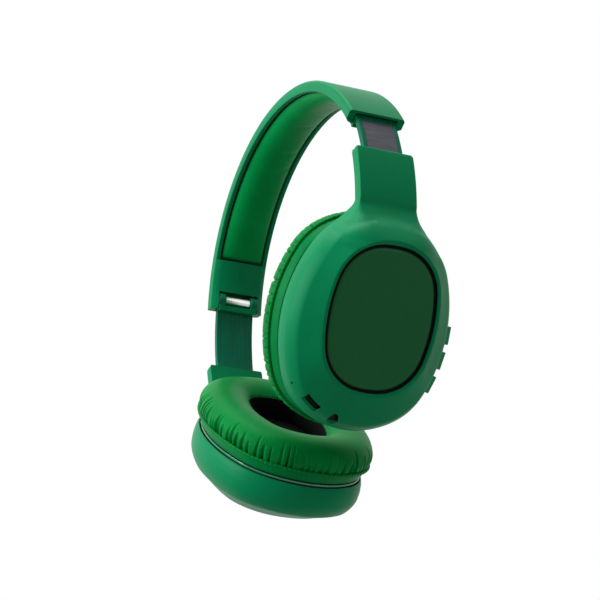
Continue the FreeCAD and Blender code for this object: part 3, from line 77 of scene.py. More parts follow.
def set_node(owner, node, links=(), **settings):
    """Sets a node's values or colour stops, and links each (node, output, input) into it."""
    for name, value in settings.items():
        if name == "stops":
            for element, (position, code) in zip(node.color_ramp.elements, value):
                element.position = position
                element.color = linear(code)
        elif hasattr(node, name):
            setattr(node, name, value)
        else:
            node.inputs[name.replace("_", " ")].default_value = value
    for source, output, socket in links:
        owner.node_tree.links.new(source.outputs[output], node.inputs[socket])
    return node


def add_node(owner, kind, links=(), **settings):
    """Adds a node to a material or to the world, and sets it up."""
    return set_node(owner, owner.node_tree.nodes.new("ShaderNode" + kind), links, **settings)


def soft_touch_abs():
    """Soft-touch coat on ABS: dull, even, with a fine grit that only softens the gloss."""
    material, shader, on_object = new_material("soft_touch_coated_abs")
    cloud = add_node(material, "TexNoise", on_object, Scale=per_mm(30), Detail=3.0)
    tint = add_node(
        material, "ValToRGB", [(cloud, "Fac", "Fac")], stops=((0.3, "#02824F"), (0.7, "#048B57")))
    grit = add_node(material, "TexNoise", on_object, Scale=per_mm(0.35), Detail=2.0)
    dull = add_node(material, "MapRange", [(cloud, "Fac", "Value")], To_Min=0.40, To_Max=0.48)
    bump = add_node(material, "Bump", [(grit, "Fac", "Height")], Strength=0.10, Distance=0.00006)
    set_node(
        material, shader,
        [(tint, "Color", "Base Color"), (dull, "Result", "Roughness"), (bump, "Normal", "Normal")],
        IOR=1.45, Specular_IOR_Level=0.16, Specular_Tint=linear("#A8E6CC"), Sheen_Weight=0.02,
        Sheen_Roughness=0.45, Sheen_Tint=linear("#8FE0BE"))
    return material


soft_touch = soft_touch_abs()


def turn_y(angle):
    return Matrix.Rotation(math.radians(angle), 4, "Y")


def shift(x, y, z):
    return Matrix.Translation((x, y, z))


band_centre = shift(0, 0, CROWN_DEPTH - BAND_RADIUS)


def mesh_piece(name, points, faces, place, material, crisp=50):
    """A mesh from points in millimetres, put in place, smooth but for its crisp edges."""
    mesh = bpy.data.meshes.new(name)
    moved = [tuple((place @ Vector(point)) * 0.001) for point in points]
    mesh.from_pydata(moved, [], faces)
    mesh.validate()
    build = bmesh.new()
    build.from_mesh(mesh)
    bmesh.ops.recalc_face_normals(build, faces=build.faces)
    build.to_mesh(mesh)
    build.free()
    mesh.shade_smooth()
    mesh.set_sharp_from_angle(angle=math.radians(crisp))
    mesh.materials.append(material)
    piece = bpy.data.objects.new(name, mesh)
    bpy.context.scene.collection.objects.link(piece)
    return piece


def grid_faces(rows, columns, close_rows=False, close_columns=False):
    """Quads of a grid whose points run along each row in turn."""
    faces = []
    for row in range(rows if close_rows else rows - 1):
        for column in range(columns if close_columns else columns - 1):
            beside = (column + 1) % columns
            below = (row + 1) % rows
            faces.append((
                row * columns + column, row * columns + beside,
                below * columns + beside, below * columns + column))
    return faces


def band_point(angle, y, depth):
    """A point of the band: degrees from its crown, along Y, and depth below its skin."""
    lean = math.radians(angle)
    radius = BAND_RADIUS - depth
    return (radius * math.sin(lean), y, radius * math.cos(lean))


def shell_section(rim):
    """Half of the shell's section as (y, depth), from its crown line round to its inside."""
    return [
        (0.0, 0.0), (7.0, 0.0), (12.2, 0.0), (12.9, 0.03), (13.25, 0.18), (13.7, 0.62),
        (13.9, 0.88), (13.98, 1.10), (14.0, 1.18), (14.0, rim - 0.45), (13.93, rim - 0.2),
        (13.6, rim), (12.3, rim), (11.95, rim - 0.15), (11.8, rim - 0.45), (11.8, 1.22),
        (11.7, 1.2), (6.0, 1.2), (0.0, 1.2),
    ]


def make_headband_shell():
    box_start = BAND_HALF_ANGLE - math.degrees(BOX_LENGTH / BAND_RADIUS)
    inner = list(np.linspace(-box_start, box_start, 121))
    outer = list(np.linspace(box_start + 0.02, BAND_HALF_ANGLE, 22))
    stations = [(-angle, BOX_RIM_DEPTH) for angle in reversed(outer)]
    stations += [(angle, RIM_DEPTH) for angle in inner]
    stations += [(angle, BOX_RIM_DEPTH) for angle in outer]
    points = []
    for angle, rim in stations:
        half = shell_section(rim)
        loop = half + [(-y, depth) for y, depth in reversed(half[1:-1])]
        points += [band_point(angle, y, depth) for y, depth in loop]
    columns = 2 * len(shell_section(RIM_DEPTH)) - 2
    faces = grid_faces(len(stations), columns, close_columns=True)
    faces.append(tuple(range(columns)))
    faces.append(tuple(reversed(range(len(points) - columns, len(points)))))
    piece = mesh_piece("headband_shell", points, faces, band_centre, soft_touch, crisp=35)
    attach(piece, "headband")
    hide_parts("band_outer_shell")


make_headband_shell()


# Headband tray, spring and wire.
# The tray is black-green ABS moulded with a fine texture, sunk between the rims, so it
# shows only as a dark gap around the pad. Above it lie a spring of blued steel and a wire.

def moulded_abs(name, low, high, roughness):
    """Bare moulded ABS: satin, with the faint mottle of a textured mould."""
    material, shader, on_object = new_material(name)
    mottle = add_node(material, "TexNoise", on_object, Scale=per_mm(0.6), Detail=4.0)
    tint = add_node(
        material, "ValToRGB", [(mottle, "Fac", "Fac")], stops=((0.3, low), (0.7, high)))
    bump = add_node(material, "Bump", [(mottle, "Fac", "Height")], Strength=0.15, Distance=0.00008)
    set_node(
        material, shader, [(tint, "Color", "Base Color"), (bump, "Normal", "Normal")],
        Roughness=roughness, IOR=1.5, Specular_IOR_Level=0.2)
    return material


def brushed_metal(name, low, high, roughness, fine, long_way):
    """Metal rubbed with grit one way: fine streaks that stretch its highlights across them."""
    material, shader, on_object = new_material(name)
    stretch = [per_mm(fine)] * 3
    for axis in long_way:
        stretch[axis] = per_mm(fine * 60)
    along = add_node(material, "Mapping", on_object, Scale=stretch)
    streak = add_node(material, "TexNoise", [(along, "Vector", "Vector")], Scale=1.0, Detail=3.0)
    tint = add_node(
        material, "ValToRGB", [(streak, "Fac", "Fac")], stops=((0.3, low), (0.7, high)))
    dull = add_node(
        material, "MapRange", [(streak, "Fac", "Value")],
        To_Min=roughness - 0.08, To_Max=roughness + 0.08)
    bump = add_node(material, "Bump", [(streak, "Fac", "Height")], Strength=0.3, Distance=0.00004)
    set_node(
        material, shader,
        [(tint, "Color", "Base Color"), (dull, "Result", "Roughness"), (bump, "Normal", "Normal")],
        Metallic=1.0)
    return material


def dress(node, material, edge=0.0):
    """Gives a CAD node its material and, where its edges show, a small round on them."""
    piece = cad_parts[node]
    piece.data.materials.clear()
    piece.data.materials.append(material)
    if edge:
        weld = piece.modifiers.new("weld", "WELD")
        weld.merge_threshold = 0.00001
        flat = piece.modifiers.new("flat", "DECIMATE")
        flat.decimate_type = "DISSOLVE"
        flat.angle_limit = math.radians(0.6)
        round_edges = piece.modifiers.new("round", "BEVEL")
        round_edges.width = edge * 0.001
        round_edges.segments = 3
        round_edges.limit_method = "ANGLE"
        round_edges.angle_limit = math.radians(40)
        round_edges.harden_normals = True


tray_abs = moulded_abs("textured_abs_tray", "#063322", "#08402B", 0.6)
blued_steel = brushed_metal("blued_spring_steel", "#3A4250", "#565E6C", 0.35, 0.3, (0, 2))
wire_pvc = moulded_abs("pvc_wire_sleeve", "#141614", "#1C1F1C", 0.45)
dress("band_inner_frame", tray_abs)
dress("spring_steel_band", blued_steel)
dress("headband_wire", wire_pvc)


# Headband pad.
# Foam wrapped in thin polyurethane leatherette and tucked into the tray, full under
# the crown and thin at its ends. The wrap is soft and shows faint creases where it bends.

PAD_HALF_WIDTH = 10.7
PAD_BASE_DEPTH = 4.8
PAD_END_DEPTH = 6.4
# Creases across the pad: degrees from the crown, how far they slant, their reach and depth.
PAD_CREASES = [
    (-7.5, 0.10, 0.9, 0.34), (-12.5, -0.22, 0.7, 0.20), (-17.0, 0.30, 0.9, 0.26),
    (-24.0, -0.12, 0.8, 0.20), (-29.0, 0.25, 0.7, 0.16), (9.0, 0.2, 0.8, 0.16),
    (21.0, -0.2, 0.8, 0.14),
]
PAD_ROWS = 241
PAD_ARC_STEPS = 21
PUFF_FRAMES = 20


def leatherette(name, low, high, grain):
    """Polyurethane leatherette: dull, finely grained, with a soft bloom on its folds."""
    material, shader, on_object = new_material(name)
    cloud = add_node(material, "TexNoise", on_object, Scale=per_mm(18), Detail=4.0)
    tint = add_node(
        material, "ValToRGB", [(cloud, "Fac", "Fac")], stops=((0.3, low), (0.7, high)))
    cells = add_node(material, "TexVoronoi", on_object, Scale=per_mm(grain))
    fine = add_node(material, "TexNoise", on_object, Scale=per_mm(grain * 0.5), Detail=3.0)
    height = add_node(
        material, "Math", [(cells, "Distance", 0), (fine, "Fac", 1)], operation="MULTIPLY")
    bump = add_node(
        material, "Bump", [(height, "Value", "Height")], Strength=0.35, Distance=0.00012)
    dull = add_node(material, "MapRange", [(cloud, "Fac", "Value")], To_Min=0.40, To_Max=0.50)
    set_node(
        material, shader,
        [(tint, "Color", "Base Color"), (dull, "Result", "Roughness"), (bump, "Normal", "Normal")],
        IOR=1.48, Specular_IOR_Level=0.1, Specular_Tint=linear("#80E0A8"), Sheen_Weight=0.02,
        Sheen_Roughness=0.4, Sheen_Tint=linear("#6FE0A0"))
    return material


pad_leather = leatherette("polyurethane_leatherette_pad", "#009245", "#04A052", 0.7)


def puffed(points, rows, columns, pinned, cap, closed_rows=False, closed_columns=False):
    """Blows a grid of leatherette up over its foam with cloth pressure, its seams pinned.

    Each point moves by no more than the cap, in millimetres.
    """
    mesh = bpy.data.meshes.new("puff")
    mesh.from_pydata([tuple(Vector(p) * 0.001) for p in points], [], grid_faces(
        rows, columns, closed_rows, closed_columns))
    soft = bpy.data.objects.new("puff", mesh)
    bpy.context.scene.collection.objects.link(soft)
    group = soft.vertex_groups.new(name="pin")
    group.add(pinned, 1.0, "REPLACE")
    cloth = soft.modifiers.new("cloth", "CLOTH")
    settings = cloth.settings
    settings.quality = 6
    settings.mass = 0.2
    settings.use_pressure = True
    settings.uniform_pressure_force = 4.0
    settings.tension_stiffness = 40.0
    settings.compression_stiffness = 20.0
    settings.shear_stiffness = 10.0
    settings.bending_stiffness = 2.0
    settings.vertex_group_mass = "pin"
    settings.effector_weights.gravity = 0.0
    cloth.point_cache.frame_start = 1
    cloth.point_cache.frame_end = PUFF_FRAMES
    for step in range(1, PUFF_FRAMES + 1):
        bpy.context.scene.frame_set(step)
    graph = bpy.context.evaluated_depsgraph_get()
    blown = soft.evaluated_get(graph).to_mesh()
    moved = []
    for vertex, start in zip(blown.vertices, points):
        step = vertex.co * 1000.0 - Vector(start)
        if step.length > cap:
            step *= cap / step.length
        moved.append(tuple(Vector(start) + step))
    bpy.data.objects.remove(soft)
    bpy.context.scene.frame_set(1)
    return moved


def pad_section(thick, squeeze):
    """Pad section as (y, height above its base), round the crown and back under."""
    half = PAD_HALF_WIDTH + 0.35 - squeeze
    loop = []
    for step in range(PAD_ARC_STEPS):
        share = math.radians(90 - step * 9)
        side = abs(math.sin(share)) ** 0.95 * math.copysign(1, math.sin(share))
        rise = abs(math.cos(share)) ** 1.2
        loop.append((half * side, thick * (0.06 + 0.94 * rise)))
    loop += [(-half + 0.8, 0.0), (-half * 0.4, 0.0), (half * 0.4, 0.0), (half - 0.8, 0.0)]
    return loop


def make_headband_pad():
    half_angle = BAND_HALF_ANGLE - math.degrees((BOX_LENGTH + 1.0) / BAND_RADIUS)
    points = []
    for row in range(PAD_ROWS):
        share = 2 * row / (PAD_ROWS - 1) - 1
        full = CROWN_DEPTH + 1.2 - (CROWN_DEPTH + 0.2 - PAD_END_DEPTH) * share ** 6
        end = max(0.0, (abs(share) - 0.975) / 0.025)
        thick = (full - PAD_BASE_DEPTH - 0.25) * (1 - 0.75 * end ** 2)
        for y, height in pad_section(thick, 0.15 + 0.3 * end ** 2):
            crease = 0.0
            for place, slant, wide, deep in PAD_CREASES:
                off = (share * half_angle - place - slant * y) / wide
                one_side = 1 / (1 + math.exp(-(y + 1.0) * 0.8))
                crease += deep * math.exp(-off * off) * one_side
            height -= crease * min(1.0, height / max(thick, 0.1))
            points.append(band_point(share * half_angle, y, PAD_BASE_DEPTH + height))
    columns = len(pad_section(1.0, 0.0))
    tucked = range(PAD_ARC_STEPS, columns)
    under = [row * columns + column for row in range(PAD_ROWS) for column in tucked]
    first = list(range(columns))
    last = list(range((PAD_ROWS - 1) * columns, PAD_ROWS * columns))
    points = puffed(points, PAD_ROWS, columns, under + first + last, 0.35, closed_columns=True)
    faces = grid_faces(PAD_ROWS, columns, close_columns=True)
    faces += [tuple(first), tuple(reversed(last))]
    piece = mesh_piece("headband_pad_wrap", points, faces, band_centre, pad_leather, crisp=60)
    smooth = piece.modifiers.new("smooth", "SUBSURF")
    smooth.levels = smooth.render_levels = 1
    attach(piece, "headband")
    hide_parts("headband_pad")


make_headband_pad()


# Hinge boxes and pins.
# At each end of the band a moulded box with the same soft-touch coat closes the hinge.
# A ground steel pin runs across it through the fork of the arm's knuckle.

ground_steel = brushed_metal("ground_steel_pin", "#D6D8D6", "#F0F0EE", 0.3, 0.25, (0, 2))
for side in ("right", "left"):
    dress(side + "_hinge_box", soft_touch, edge=0.35)
    dress(side + "_ear_mark", soft_touch)
    dress(side + "_hinge_pin", ground_steel, edge=0.3)
    dress(side + "_hinge_washers", blued_steel)


# Sliding arms.
# Each arm is a curved strip of glass-filled nylon, drawn with fine lines along its length,
# with a thin inlay of brushed stainless steel between its two rails.

def drawn_nylon():
    """Glass-filled nylon off a ribbed mould: satin, with fine lines along the strip."""
    material, shader, on_object = new_material("glass_filled_nylon_strip")
    along = add_node(
        material, "Mapping", on_object,
        Scale=(per_mm(18), per_mm(0.45), per_mm(18)))
    lines = add_node(material, "TexNoise", [(along, "Vector", "Vector")], Scale=1.0, Detail=3.0)
    tint = add_node(
        material, "ValToRGB", [(lines, "Fac", "Fac")],
        stops=((0.35, "#006348"), (0.65, "#007657")))
    bump = add_node(material, "Bump", [(lines, "Fac", "Height")], Strength=0.35, Distance=0.0001)
    set_node(
        material, shader, [(tint, "Color", "Base Color"), (bump, "Normal", "Normal")],
        Roughness=0.46, IOR=1.5, Specular_IOR_Level=0.12)
    return material


nylon = drawn_nylon()
stainless = brushed_metal("brushed_stainless_inlay", "#3E3F44", "#5B5C62", 0.38, 0.22, (1,))
for side in ("right", "left"):
    dress(side + "_knuckle", soft_touch, edge=0.3)
    dress(side + "_slider_strip", nylon, edge=0.2)
    dress(side + "_slider_plate", stainless)


# Cup housings with their necks.
# Each cup's dome and neck are one ABS moulding with the soft-touch coat. The neck's side
# walls run on into the rim of the cup, and its face sinks into the dome round the cover.

PIN_BACK = 5.2
PIN_DEPTH = 5.3
STRIP_RADIUS = 94.9
STRIP_DEPTH = 1.9
NECK_LENGTH = 26.6
NECK_HALF = 14.2
NECK_OUT = 1.45
NECK_WALL = 5.15
NECK_TO_CUP = 49.5
CUP_TURN = 25.3
CUP_BACK = 4.8
# Ovals: half width, half height, offset of the corner arcs, bow of the sides, bow of the
# ends, and height of the middle.
RIM = (39.1, 47.5, 6.5, 3.6, 2.0, -4.95)
RECESS = (25.9, 32.8, 2.9, 1.2, 0.2, 0.0)
LIP = (27.2, 34.1, 2.9, 1.2, 0.2, 0.0)


def neck_frame(side):
    """The strip's arc centre with +X through the neck's mouth, for a folded, pulled-out arm."""
    right = side == "right"
    fold = 8.9 if right else -3.2
    pulled = 18.5 if right else 31.7
    pin_angle = BAND_HALF_ANGLE - math.degrees(PIN_BACK / BAND_RADIUS)
    half_turn = Matrix.Rotation(0.0 if right else math.pi, 4, "Z")
    arm = band_centre @ half_turn @ turn_y(pin_angle - 90) @ shift(BAND_RADIUS - PIN_DEPTH, 0, 0)
    arm = arm @ turn_y(fold + math.degrees(PIN_BACK / BAND_RADIUS))
    strip = arm @ shift(PIN_DEPTH - STRIP_DEPTH - STRIP_RADIUS, 0, -PIN_BACK)
    return strip @ turn_y(math.degrees(pulled / STRIP_RADIUS))


NECK_BEND = math.degrees(NECK_LENGTH / STRIP_RADIUS)
cup_in_neck = turn_y(NECK_BEND) @ shift(STRIP_RADIUS, 0, 0)
cup_in_neck = cup_in_neck @ turn_y(CUP_TURN) @ shift(0, 0, -NECK_TO_CUP)
cup_frame = {side: neck_frame(side) @ cup_in_neck for side in ("right", "left")}


def oval_distance(y, z, half_width, half_height, corner_y, side_bow, end_bow, centre):
    """Signed distance to an oval of eight arcs, below zero inside."""
    corner = half_width - corner_y - side_bow
    corner_z = half_height - corner - end_bow
    side = corner + side_bow / 2 + corner_z ** 2 / (2 * side_bow)
    end = corner + end_bow / 2 + corner_y ** 2 / (2 * end_bow)
    side_y = half_width - side
    end_z = half_height - end
    y = np.abs(y)
    z = np.abs(z - centre)
    by_side = np.arctan2(z, y - side_y) < np.arctan2(corner_z, corner_y - side_y)
    by_end = np.arctan2(z - end_z, y) > np.arctan2(corner_z - end_z, corner_y)
    to_side = np.hypot(y - side_y, z) - side
    to_end = np.hypot(y, z - end_z) - end
    to_corner = np.hypot(y - corner_y, z - corner_z) - corner
    return np.where(by_side, to_side, np.where(by_end, to_end, to_corner))


def inset(oval, by):
    return (oval[0] - by, oval[1] - by, *oval[2:])


def blended(low, high, share):
    return tuple(a + (b - a) * share for a, b in zip(low, high))


def smooth_step(value, low, high):
    share = np.clip((value - low) / (high - low), 0, 1)
    return share * share * (3 - 2 * share)


# Where the neck ends in the dome: its height on the cup, the level of its face, its half
# width and the round of its edges there.
FLARE_FOOT = 20.0
FLARE_FACE = 17.0
FLARE_HALF = 26.8
FLARE_ROUND = 19.5


def flare_spread(z):
    """How far the neck has widened at a height, from 0 at its mouth to 1 by the cover."""
    return smooth_step((NECK_TO_CUP - z) / (NECK_TO_CUP - FLARE_FOOT) * 1.15, 0.0, 1.0)


def bisected(holds, low, high, times):
    """The largest value between two bounds at which a test still holds, for each entry."""
    for _ in range(times):
        middle = (low + high) / 2
        held = holds(middle)
        low = np.where(held, middle, low)
        high = np.where(held, high, middle)
    return low


def outline_distance(y, z):
    """The cup's rim joined to its neck, which widens towards it in a concave sweep."""
    cup = oval_distance(y, z, *RIM)
    corner = 1.2
    half = (NECK_TO_CUP + NECK_LENGTH) / 2
    over = np.abs(y) - NECK_HALF - (FLARE_HALF - NECK_HALF) * flare_spread(z) + corner
    above = np.abs(z - half) - half + corner
    neck = np.hypot(np.maximum(over, 0), np.maximum(above, 0))
    neck = neck + np.minimum(np.maximum(over, above), 0) - corner
    fillet = 6.0
    near = np.maximum(fillet - np.abs(cup - neck), 0) / fillet
    return np.minimum(cup, neck) - near ** 2 * fillet / 4


def evened(ring, count):
    """Points spread evenly by travel round a closed ring, and the ring's length."""
    steps = np.linalg.norm(np.roll(ring, -1, axis=0) - ring, axis=1)
    travel = np.concatenate([[0], np.cumsum(steps)])
    wanted = np.linspace(0, travel[-1], count, endpoint=False)
    closed = np.vstack([ring, ring[:1]])
    spots = np.stack([np.interp(wanted, travel, closed[:, k]) for k in (0, 1)], axis=1)
    return spots, travel[-1]


def outline_points(count):
    """Points evenly spaced round the housing's outline, seen along the cup's axis."""
    angles = np.linspace(-math.pi / 2, 1.5 * math.pi, 6000, endpoint=False)
    reach = bisected(
        lambda far: outline_distance(far * np.cos(angles), far * np.sin(angles)) < 0,
        np.full(angles.shape, 20.0), np.full(angles.shape, 90.0), 40)
    ring = np.stack([reach * np.cos(angles), reach * np.sin(angles)], axis=1)
    return evened(ring, count)[0]


def oval_reach(angle, oval):
    """Distance from the cover's centre to an oval, along each angle."""
    return bisected(
        lambda far: oval_distance(far * np.cos(angle), far * np.sin(angle), *oval) < 0,
        np.zeros(angle.shape), np.full(angle.shape, 80.0), 40)


# Height of the dome at shares of the way from the rim to the lip round the cover plate.
DOME_SHARES = [0.0, 0.02, 0.06, 0.11, 0.18, 0.28, 0.45, 0.63, 0.80, 0.93, 1.0]
DOME_HEIGHTS = [1.0, 4.9, 7.7, 9.3, 10.5, 11.6, 13.1, 14.7, 16.3, 17.5, 18.1]


def face_height(y, z):
    """Height of the housing's face along X: the dome, the neck and a soft join of both."""
    inward = bisected(
        lambda share: oval_distance(y, z, *blended(RIM, LIP, share)) < 0,
        np.zeros(y.shape), np.ones(y.shape), 24)
    beyond = np.maximum(oval_distance(y, z, *RIM), 0)
    dome = np.interp(inward, DOME_SHARES, DOME_HEIGHTS) - 1.0 * beyond
    share = (NECK_TO_CUP - z) / (NECK_TO_CUP - FLARE_FOOT)
    spread = flare_spread(z)
    face = NECK_OUT + (FLARE_FACE - NECK_OUT) * smooth_step(share * 1.8, 0.0, 1.0)
    half = NECK_HALF + (FLARE_HALF - NECK_HALF) * spread
    corner = 1.1 + (FLARE_ROUND - 1.1) * spread
    over = np.clip(np.abs(y) - (half - corner), 0, corner * 0.98)
    flare = face - corner + np.sqrt(corner ** 2 - over ** 2)
    flare = flare - 1.0 * np.maximum(np.abs(y) - half + corner * 0.02, 0)
    flare = flare - 1.2 * np.maximum(30.0 - z, 0)
    soft = 8.0
    near = np.maximum(soft - np.abs(dome - flare), 0) / soft
    joined = np.maximum(dome, flare) + near ** 2 * soft / 4
    joined = np.where(inward > 0.999, np.minimum(joined, DOME_HEIGHTS[-1]), joined)
    in_neck = smooth_step(z, 43.0, 50.0)
    return joined * (1 - in_neck) + face * in_neck


def bent(x, y, z):
    """Bends points above the cup along the neck, which leans and curves towards the band."""
    travel = np.clip(NECK_TO_CUP + NECK_LENGTH - z, 0, NECK_LENGTH)
    turn = np.radians(NECK_BEND + CUP_TURN) - travel / STRIP_RADIUS
    lean = turn * smooth_step(z, 43.0, 51.5)
    arc = np.radians(NECK_BEND + CUP_TURN) - travel / STRIP_RADIUS
    end = math.radians(CUP_TURN)
    centre_x = -STRIP_RADIUS * math.cos(end)
    centre_z = NECK_TO_CUP - STRIP_RADIUS * math.sin(end)
    spine_x = np.where(z > NECK_TO_CUP, centre_x + STRIP_RADIUS * np.cos(arc), 0.0)
    spine_z = np.where(z > NECK_TO_CUP, centre_z + STRIP_RADIUS * np.sin(arc), z)
    return spine_x + x * np.cos(lean), y, spine_z + x * np.sin(lean)


def back_height(z):
    """Height of the housing's back edge: behind the cup, then behind the neck."""
    return np.interp(z, [43.0, 50.0], [-CUP_BACK, NECK_OUT - NECK_WALL])


RECESS_FLOOR = 16.0


def housing_rings(count):
    """Rings of points from the recess floor out over the dome and down the rim wall."""
    edge = outline_points(count)
    normal = np.roll(edge, 1, axis=0) - np.roll(edge, -1, axis=0)
    normal = np.stack([normal[:, 1], -normal[:, 0]], axis=1)
    normal /= np.linalg.norm(normal, axis=1)[:, None]
    normal *= -np.sign(np.sum(normal * edge, axis=1))[:, None]
    angle = np.arctan2(edge[:, 1], edge[:, 0])
    lip = oval_reach(angle, LIP)
    lip_in = oval_reach(angle, RECESS)
    ray = np.stack([np.cos(angle), np.sin(angle)], axis=1)
    on_cup = 1 - smooth_step(edge[:, 1], 24.0, 44.0)
    rings = []

    def flat_ring(reach, height):
        spot = ray * reach[:, None]
        rings.append(np.stack([np.full(count, height), spot[:, 0], spot[:, 1]], axis=1))

    for share in (0.2, 0.6, 0.9):
        flat_ring(lip_in * share, RECESS_FLOOR)
    recess_edge = (
        (-0.25, RECESS_FLOOR), (0, 16.2), (0, 17.45), (0.06, 17.75), (0.28, 17.98), (0.6, 18.08))
    for outward, height in recess_edge:
        flat_ring(lip_in + outward, height)
    corner = edge + normal * (1.0 * on_cup)[:, None]
    round_size = 1.2 + 1.3 * on_cup
    inward = ray * lip[:, None] - corner
    length = np.linalg.norm(inward, axis=1)
    inward /= length[:, None]
    shares = 1 - np.linspace(0, 1, 30)[1:] ** 1.15
    for share in shares:
        spot = corner + inward * (round_size + (length - round_size) * share)[:, None]
        height = face_height(spot[:, 0], spot[:, 1])
        rings.append(np.stack([height, spot[:, 0], spot[:, 1]], axis=1))
    top = face_height(corner[:, 0] + inward[:, 0] * 0.01, corner[:, 1] + inward[:, 1] * 0.01)
    shoulder = corner + inward * round_size[:, None]
    shoulder_height = face_height(shoulder[:, 0], shoulder[:, 1])
    base = back_height(edge[:, 1])
    wall_share = np.array([0.0, 0.18, 0.44, 0.72, 1.0])
    wall_inset = np.array([1.2, 0.4, 0.0, 0.2, 0.9])
    span = top - base
    drop = 1 - round_size * 1.1 / span

    def wall_ring(share):
        lean = np.interp(share, wall_share, wall_inset) * on_cup
        spot = edge + normal * lean[:, None]
        return np.stack([base + span * share, spot[:, 0], spot[:, 1]], axis=1)

    foot = wall_ring(drop)
    crest = np.stack([shoulder_height, shoulder[:, 0], shoulder[:, 1]], axis=1)
    tip = np.stack([top, corner[:, 0], corner[:, 1]], axis=1)
    for share in (0.2, 0.4, 0.6, 0.8):
        rings.append(crest * (1 - share) ** 2 + tip * 2 * share * (1 - share) + foot * share ** 2)
    for share in np.linspace(1.0, 0.06, 12):
        rings.append(wall_ring(drop * share))
    for share, tuck in ((0.02, 0.02), (0.0, 0.25)):
        inside = np.stack([np.zeros(count), normal[:, 0] * tuck, normal[:, 1] * tuck], axis=1)
        rings.append(wall_ring(share) + inside)
    return rings


def cut_out(piece, cutters):
    """Cuts boxes and rods out of a piece and applies the result."""
    for cutter in cutters:
        cut = piece.modifiers.new("cut", "BOOLEAN")
        cut.object = cutter
        cut.solver = "EXACT"
    bpy.context.view_layer.update()
    graph = bpy.context.evaluated_depsgraph_get()
    mesh = bpy.data.meshes.new_from_object(piece.evaluated_get(graph))
    piece.modifiers.clear()
    piece.data = mesh
    for cutter in cutters:
        bpy.data.objects.remove(cutter)


def block(place, low, high):
    """A plain box between two corners in millimetres, used as a cutter."""
    xs, ys, zs = zip(low, high)
    points = [(x, y, z) for x in xs for y in ys for z in zs]
    faces = [(0, 1, 3, 2), (4, 6, 7, 5), (0, 4, 5, 1), (2, 3, 7, 6), (0, 2, 6, 4), (1, 5, 7, 3)]
    return mesh_piece("cutter", points, faces, place, soft_touch)


def rod(place, low, high, radius, sides=48):
    """A plain rod along X between two heights, used as a cutter."""
    points = []
    for x in (low, high):
        for k in range(sides):
            turn = 2 * math.pi * k / sides
            points.append((x, radius * math.cos(turn), radius * math.sin(turn)))
    faces = grid_faces(2, sides, close_columns=True)
    faces += [tuple(range(sides)), tuple(range(sides, 2 * sides))]
    return mesh_piece("cutter", points, faces, place, soft_touch)


def rim_frame(angle, level, share):
    """A frame on the dome: X out of it, Y round the rim, Z along the cup's X."""
    oval = blended(RIM, LIP, share)
    across = math.cos(math.radians(angle))
    down = math.sin(math.radians(angle))
    turn = np.linspace(0, 2 * math.pi, 3600, endpoint=False)
    reach = oval_reach(turn, (*oval[:5], 0.0))
    spots = np.stack([reach * np.cos(turn), reach * np.sin(turn)], axis=1)
    y, z = spots[np.argmax(spots[:, 0] * across - spots[:, 1] * down)]
    out = Vector((0, across, -down))
    along = Vector((1, 0, 0))
    turned = Matrix((out, along.cross(out), along)).transposed().to_4x4()
    return Matrix.Translation((level, y, z + oval[5])) @ turned


# Degrees round the rim, then height on the cup and share of the way from rim to lip.
BUTTON_ANGLES = (-1.18, 8.58, 18.34)
BUTTON_LEVEL = (7.0, 0.064)
USB_PORT = (126.2, 10.3, 0.201)
AUX_PORT = (105.0, 9.8, 0.144)
AUX_LEAN = 10.0
MIC_PORT = (151.5, 7.1, 0.066)
WALL = 1.2


def dome_faces(rings, count):
    """A fan round point 0, then quads between rings of points."""
    faces = [(0, 1 + k, 1 + (k + 1) % count) for k in range(count)]
    for quad in grid_faces(rings, count, close_columns=True):
        faces.append(tuple(1 + corner for corner in quad))
    return faces


def make_housing(side):
    rings = housing_rings(420)
    count = len(rings[0])
    points = [(RECESS_FLOOR, 0.0, 0.0)]
    for ring in rings:
        x, y, z = bent(ring[:, 0], ring[:, 1], ring[:, 2])
        points += list(zip(x, y, z))
    faces = dome_faces(len(rings), count)
    piece = mesh_piece(side + "_housing", points, faces, cup_frame[side], soft_touch, crisp=60)
    if piece.data.polygons[0].normal.dot(cup_frame[side].to_3x3() @ Vector((1, 0, 0))) < 0:
        piece.data.flip_normals()
    wall = piece.modifiers.new("wall", "SOLIDIFY")
    wall.thickness = WALL * 0.001
    wall.offset = -1.0
    slot = neck_frame(side)
    cutters = [
        block(slot, (STRIP_RADIUS - 3.0, -10.1, -2.6), (STRIP_RADIUS + 0.1, 10.1, 3.0))]
    if side == "right":
        cup = cup_frame[side]
        for angle in BUTTON_ANGLES:
            place = cup @ rim_frame(angle, *BUTTON_LEVEL)
            cutters.append(block(place, (-5, -4.3, -1.8), (4, 4.3, 1.8)))
        cutters.append(block(cup @ rim_frame(*USB_PORT), (-6, -4.5, -1.6), (6, 4.5, 1.6)))
        lean = Matrix.Rotation(math.radians(AUX_LEAN), 4, "Z")
        cutters.append(rod(cup @ rim_frame(*AUX_PORT) @ lean, -6, 6, 2.55))
        cutters.append(rod(cup @ rim_frame(*MIC_PORT), -6, 6, 0.6, 24))
    cut_out(piece, cutters)
    piece.data.set_sharp_from_angle(angle=math.radians(35))
    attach(piece, side + "_cup")
    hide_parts(side + "_outer_housing")


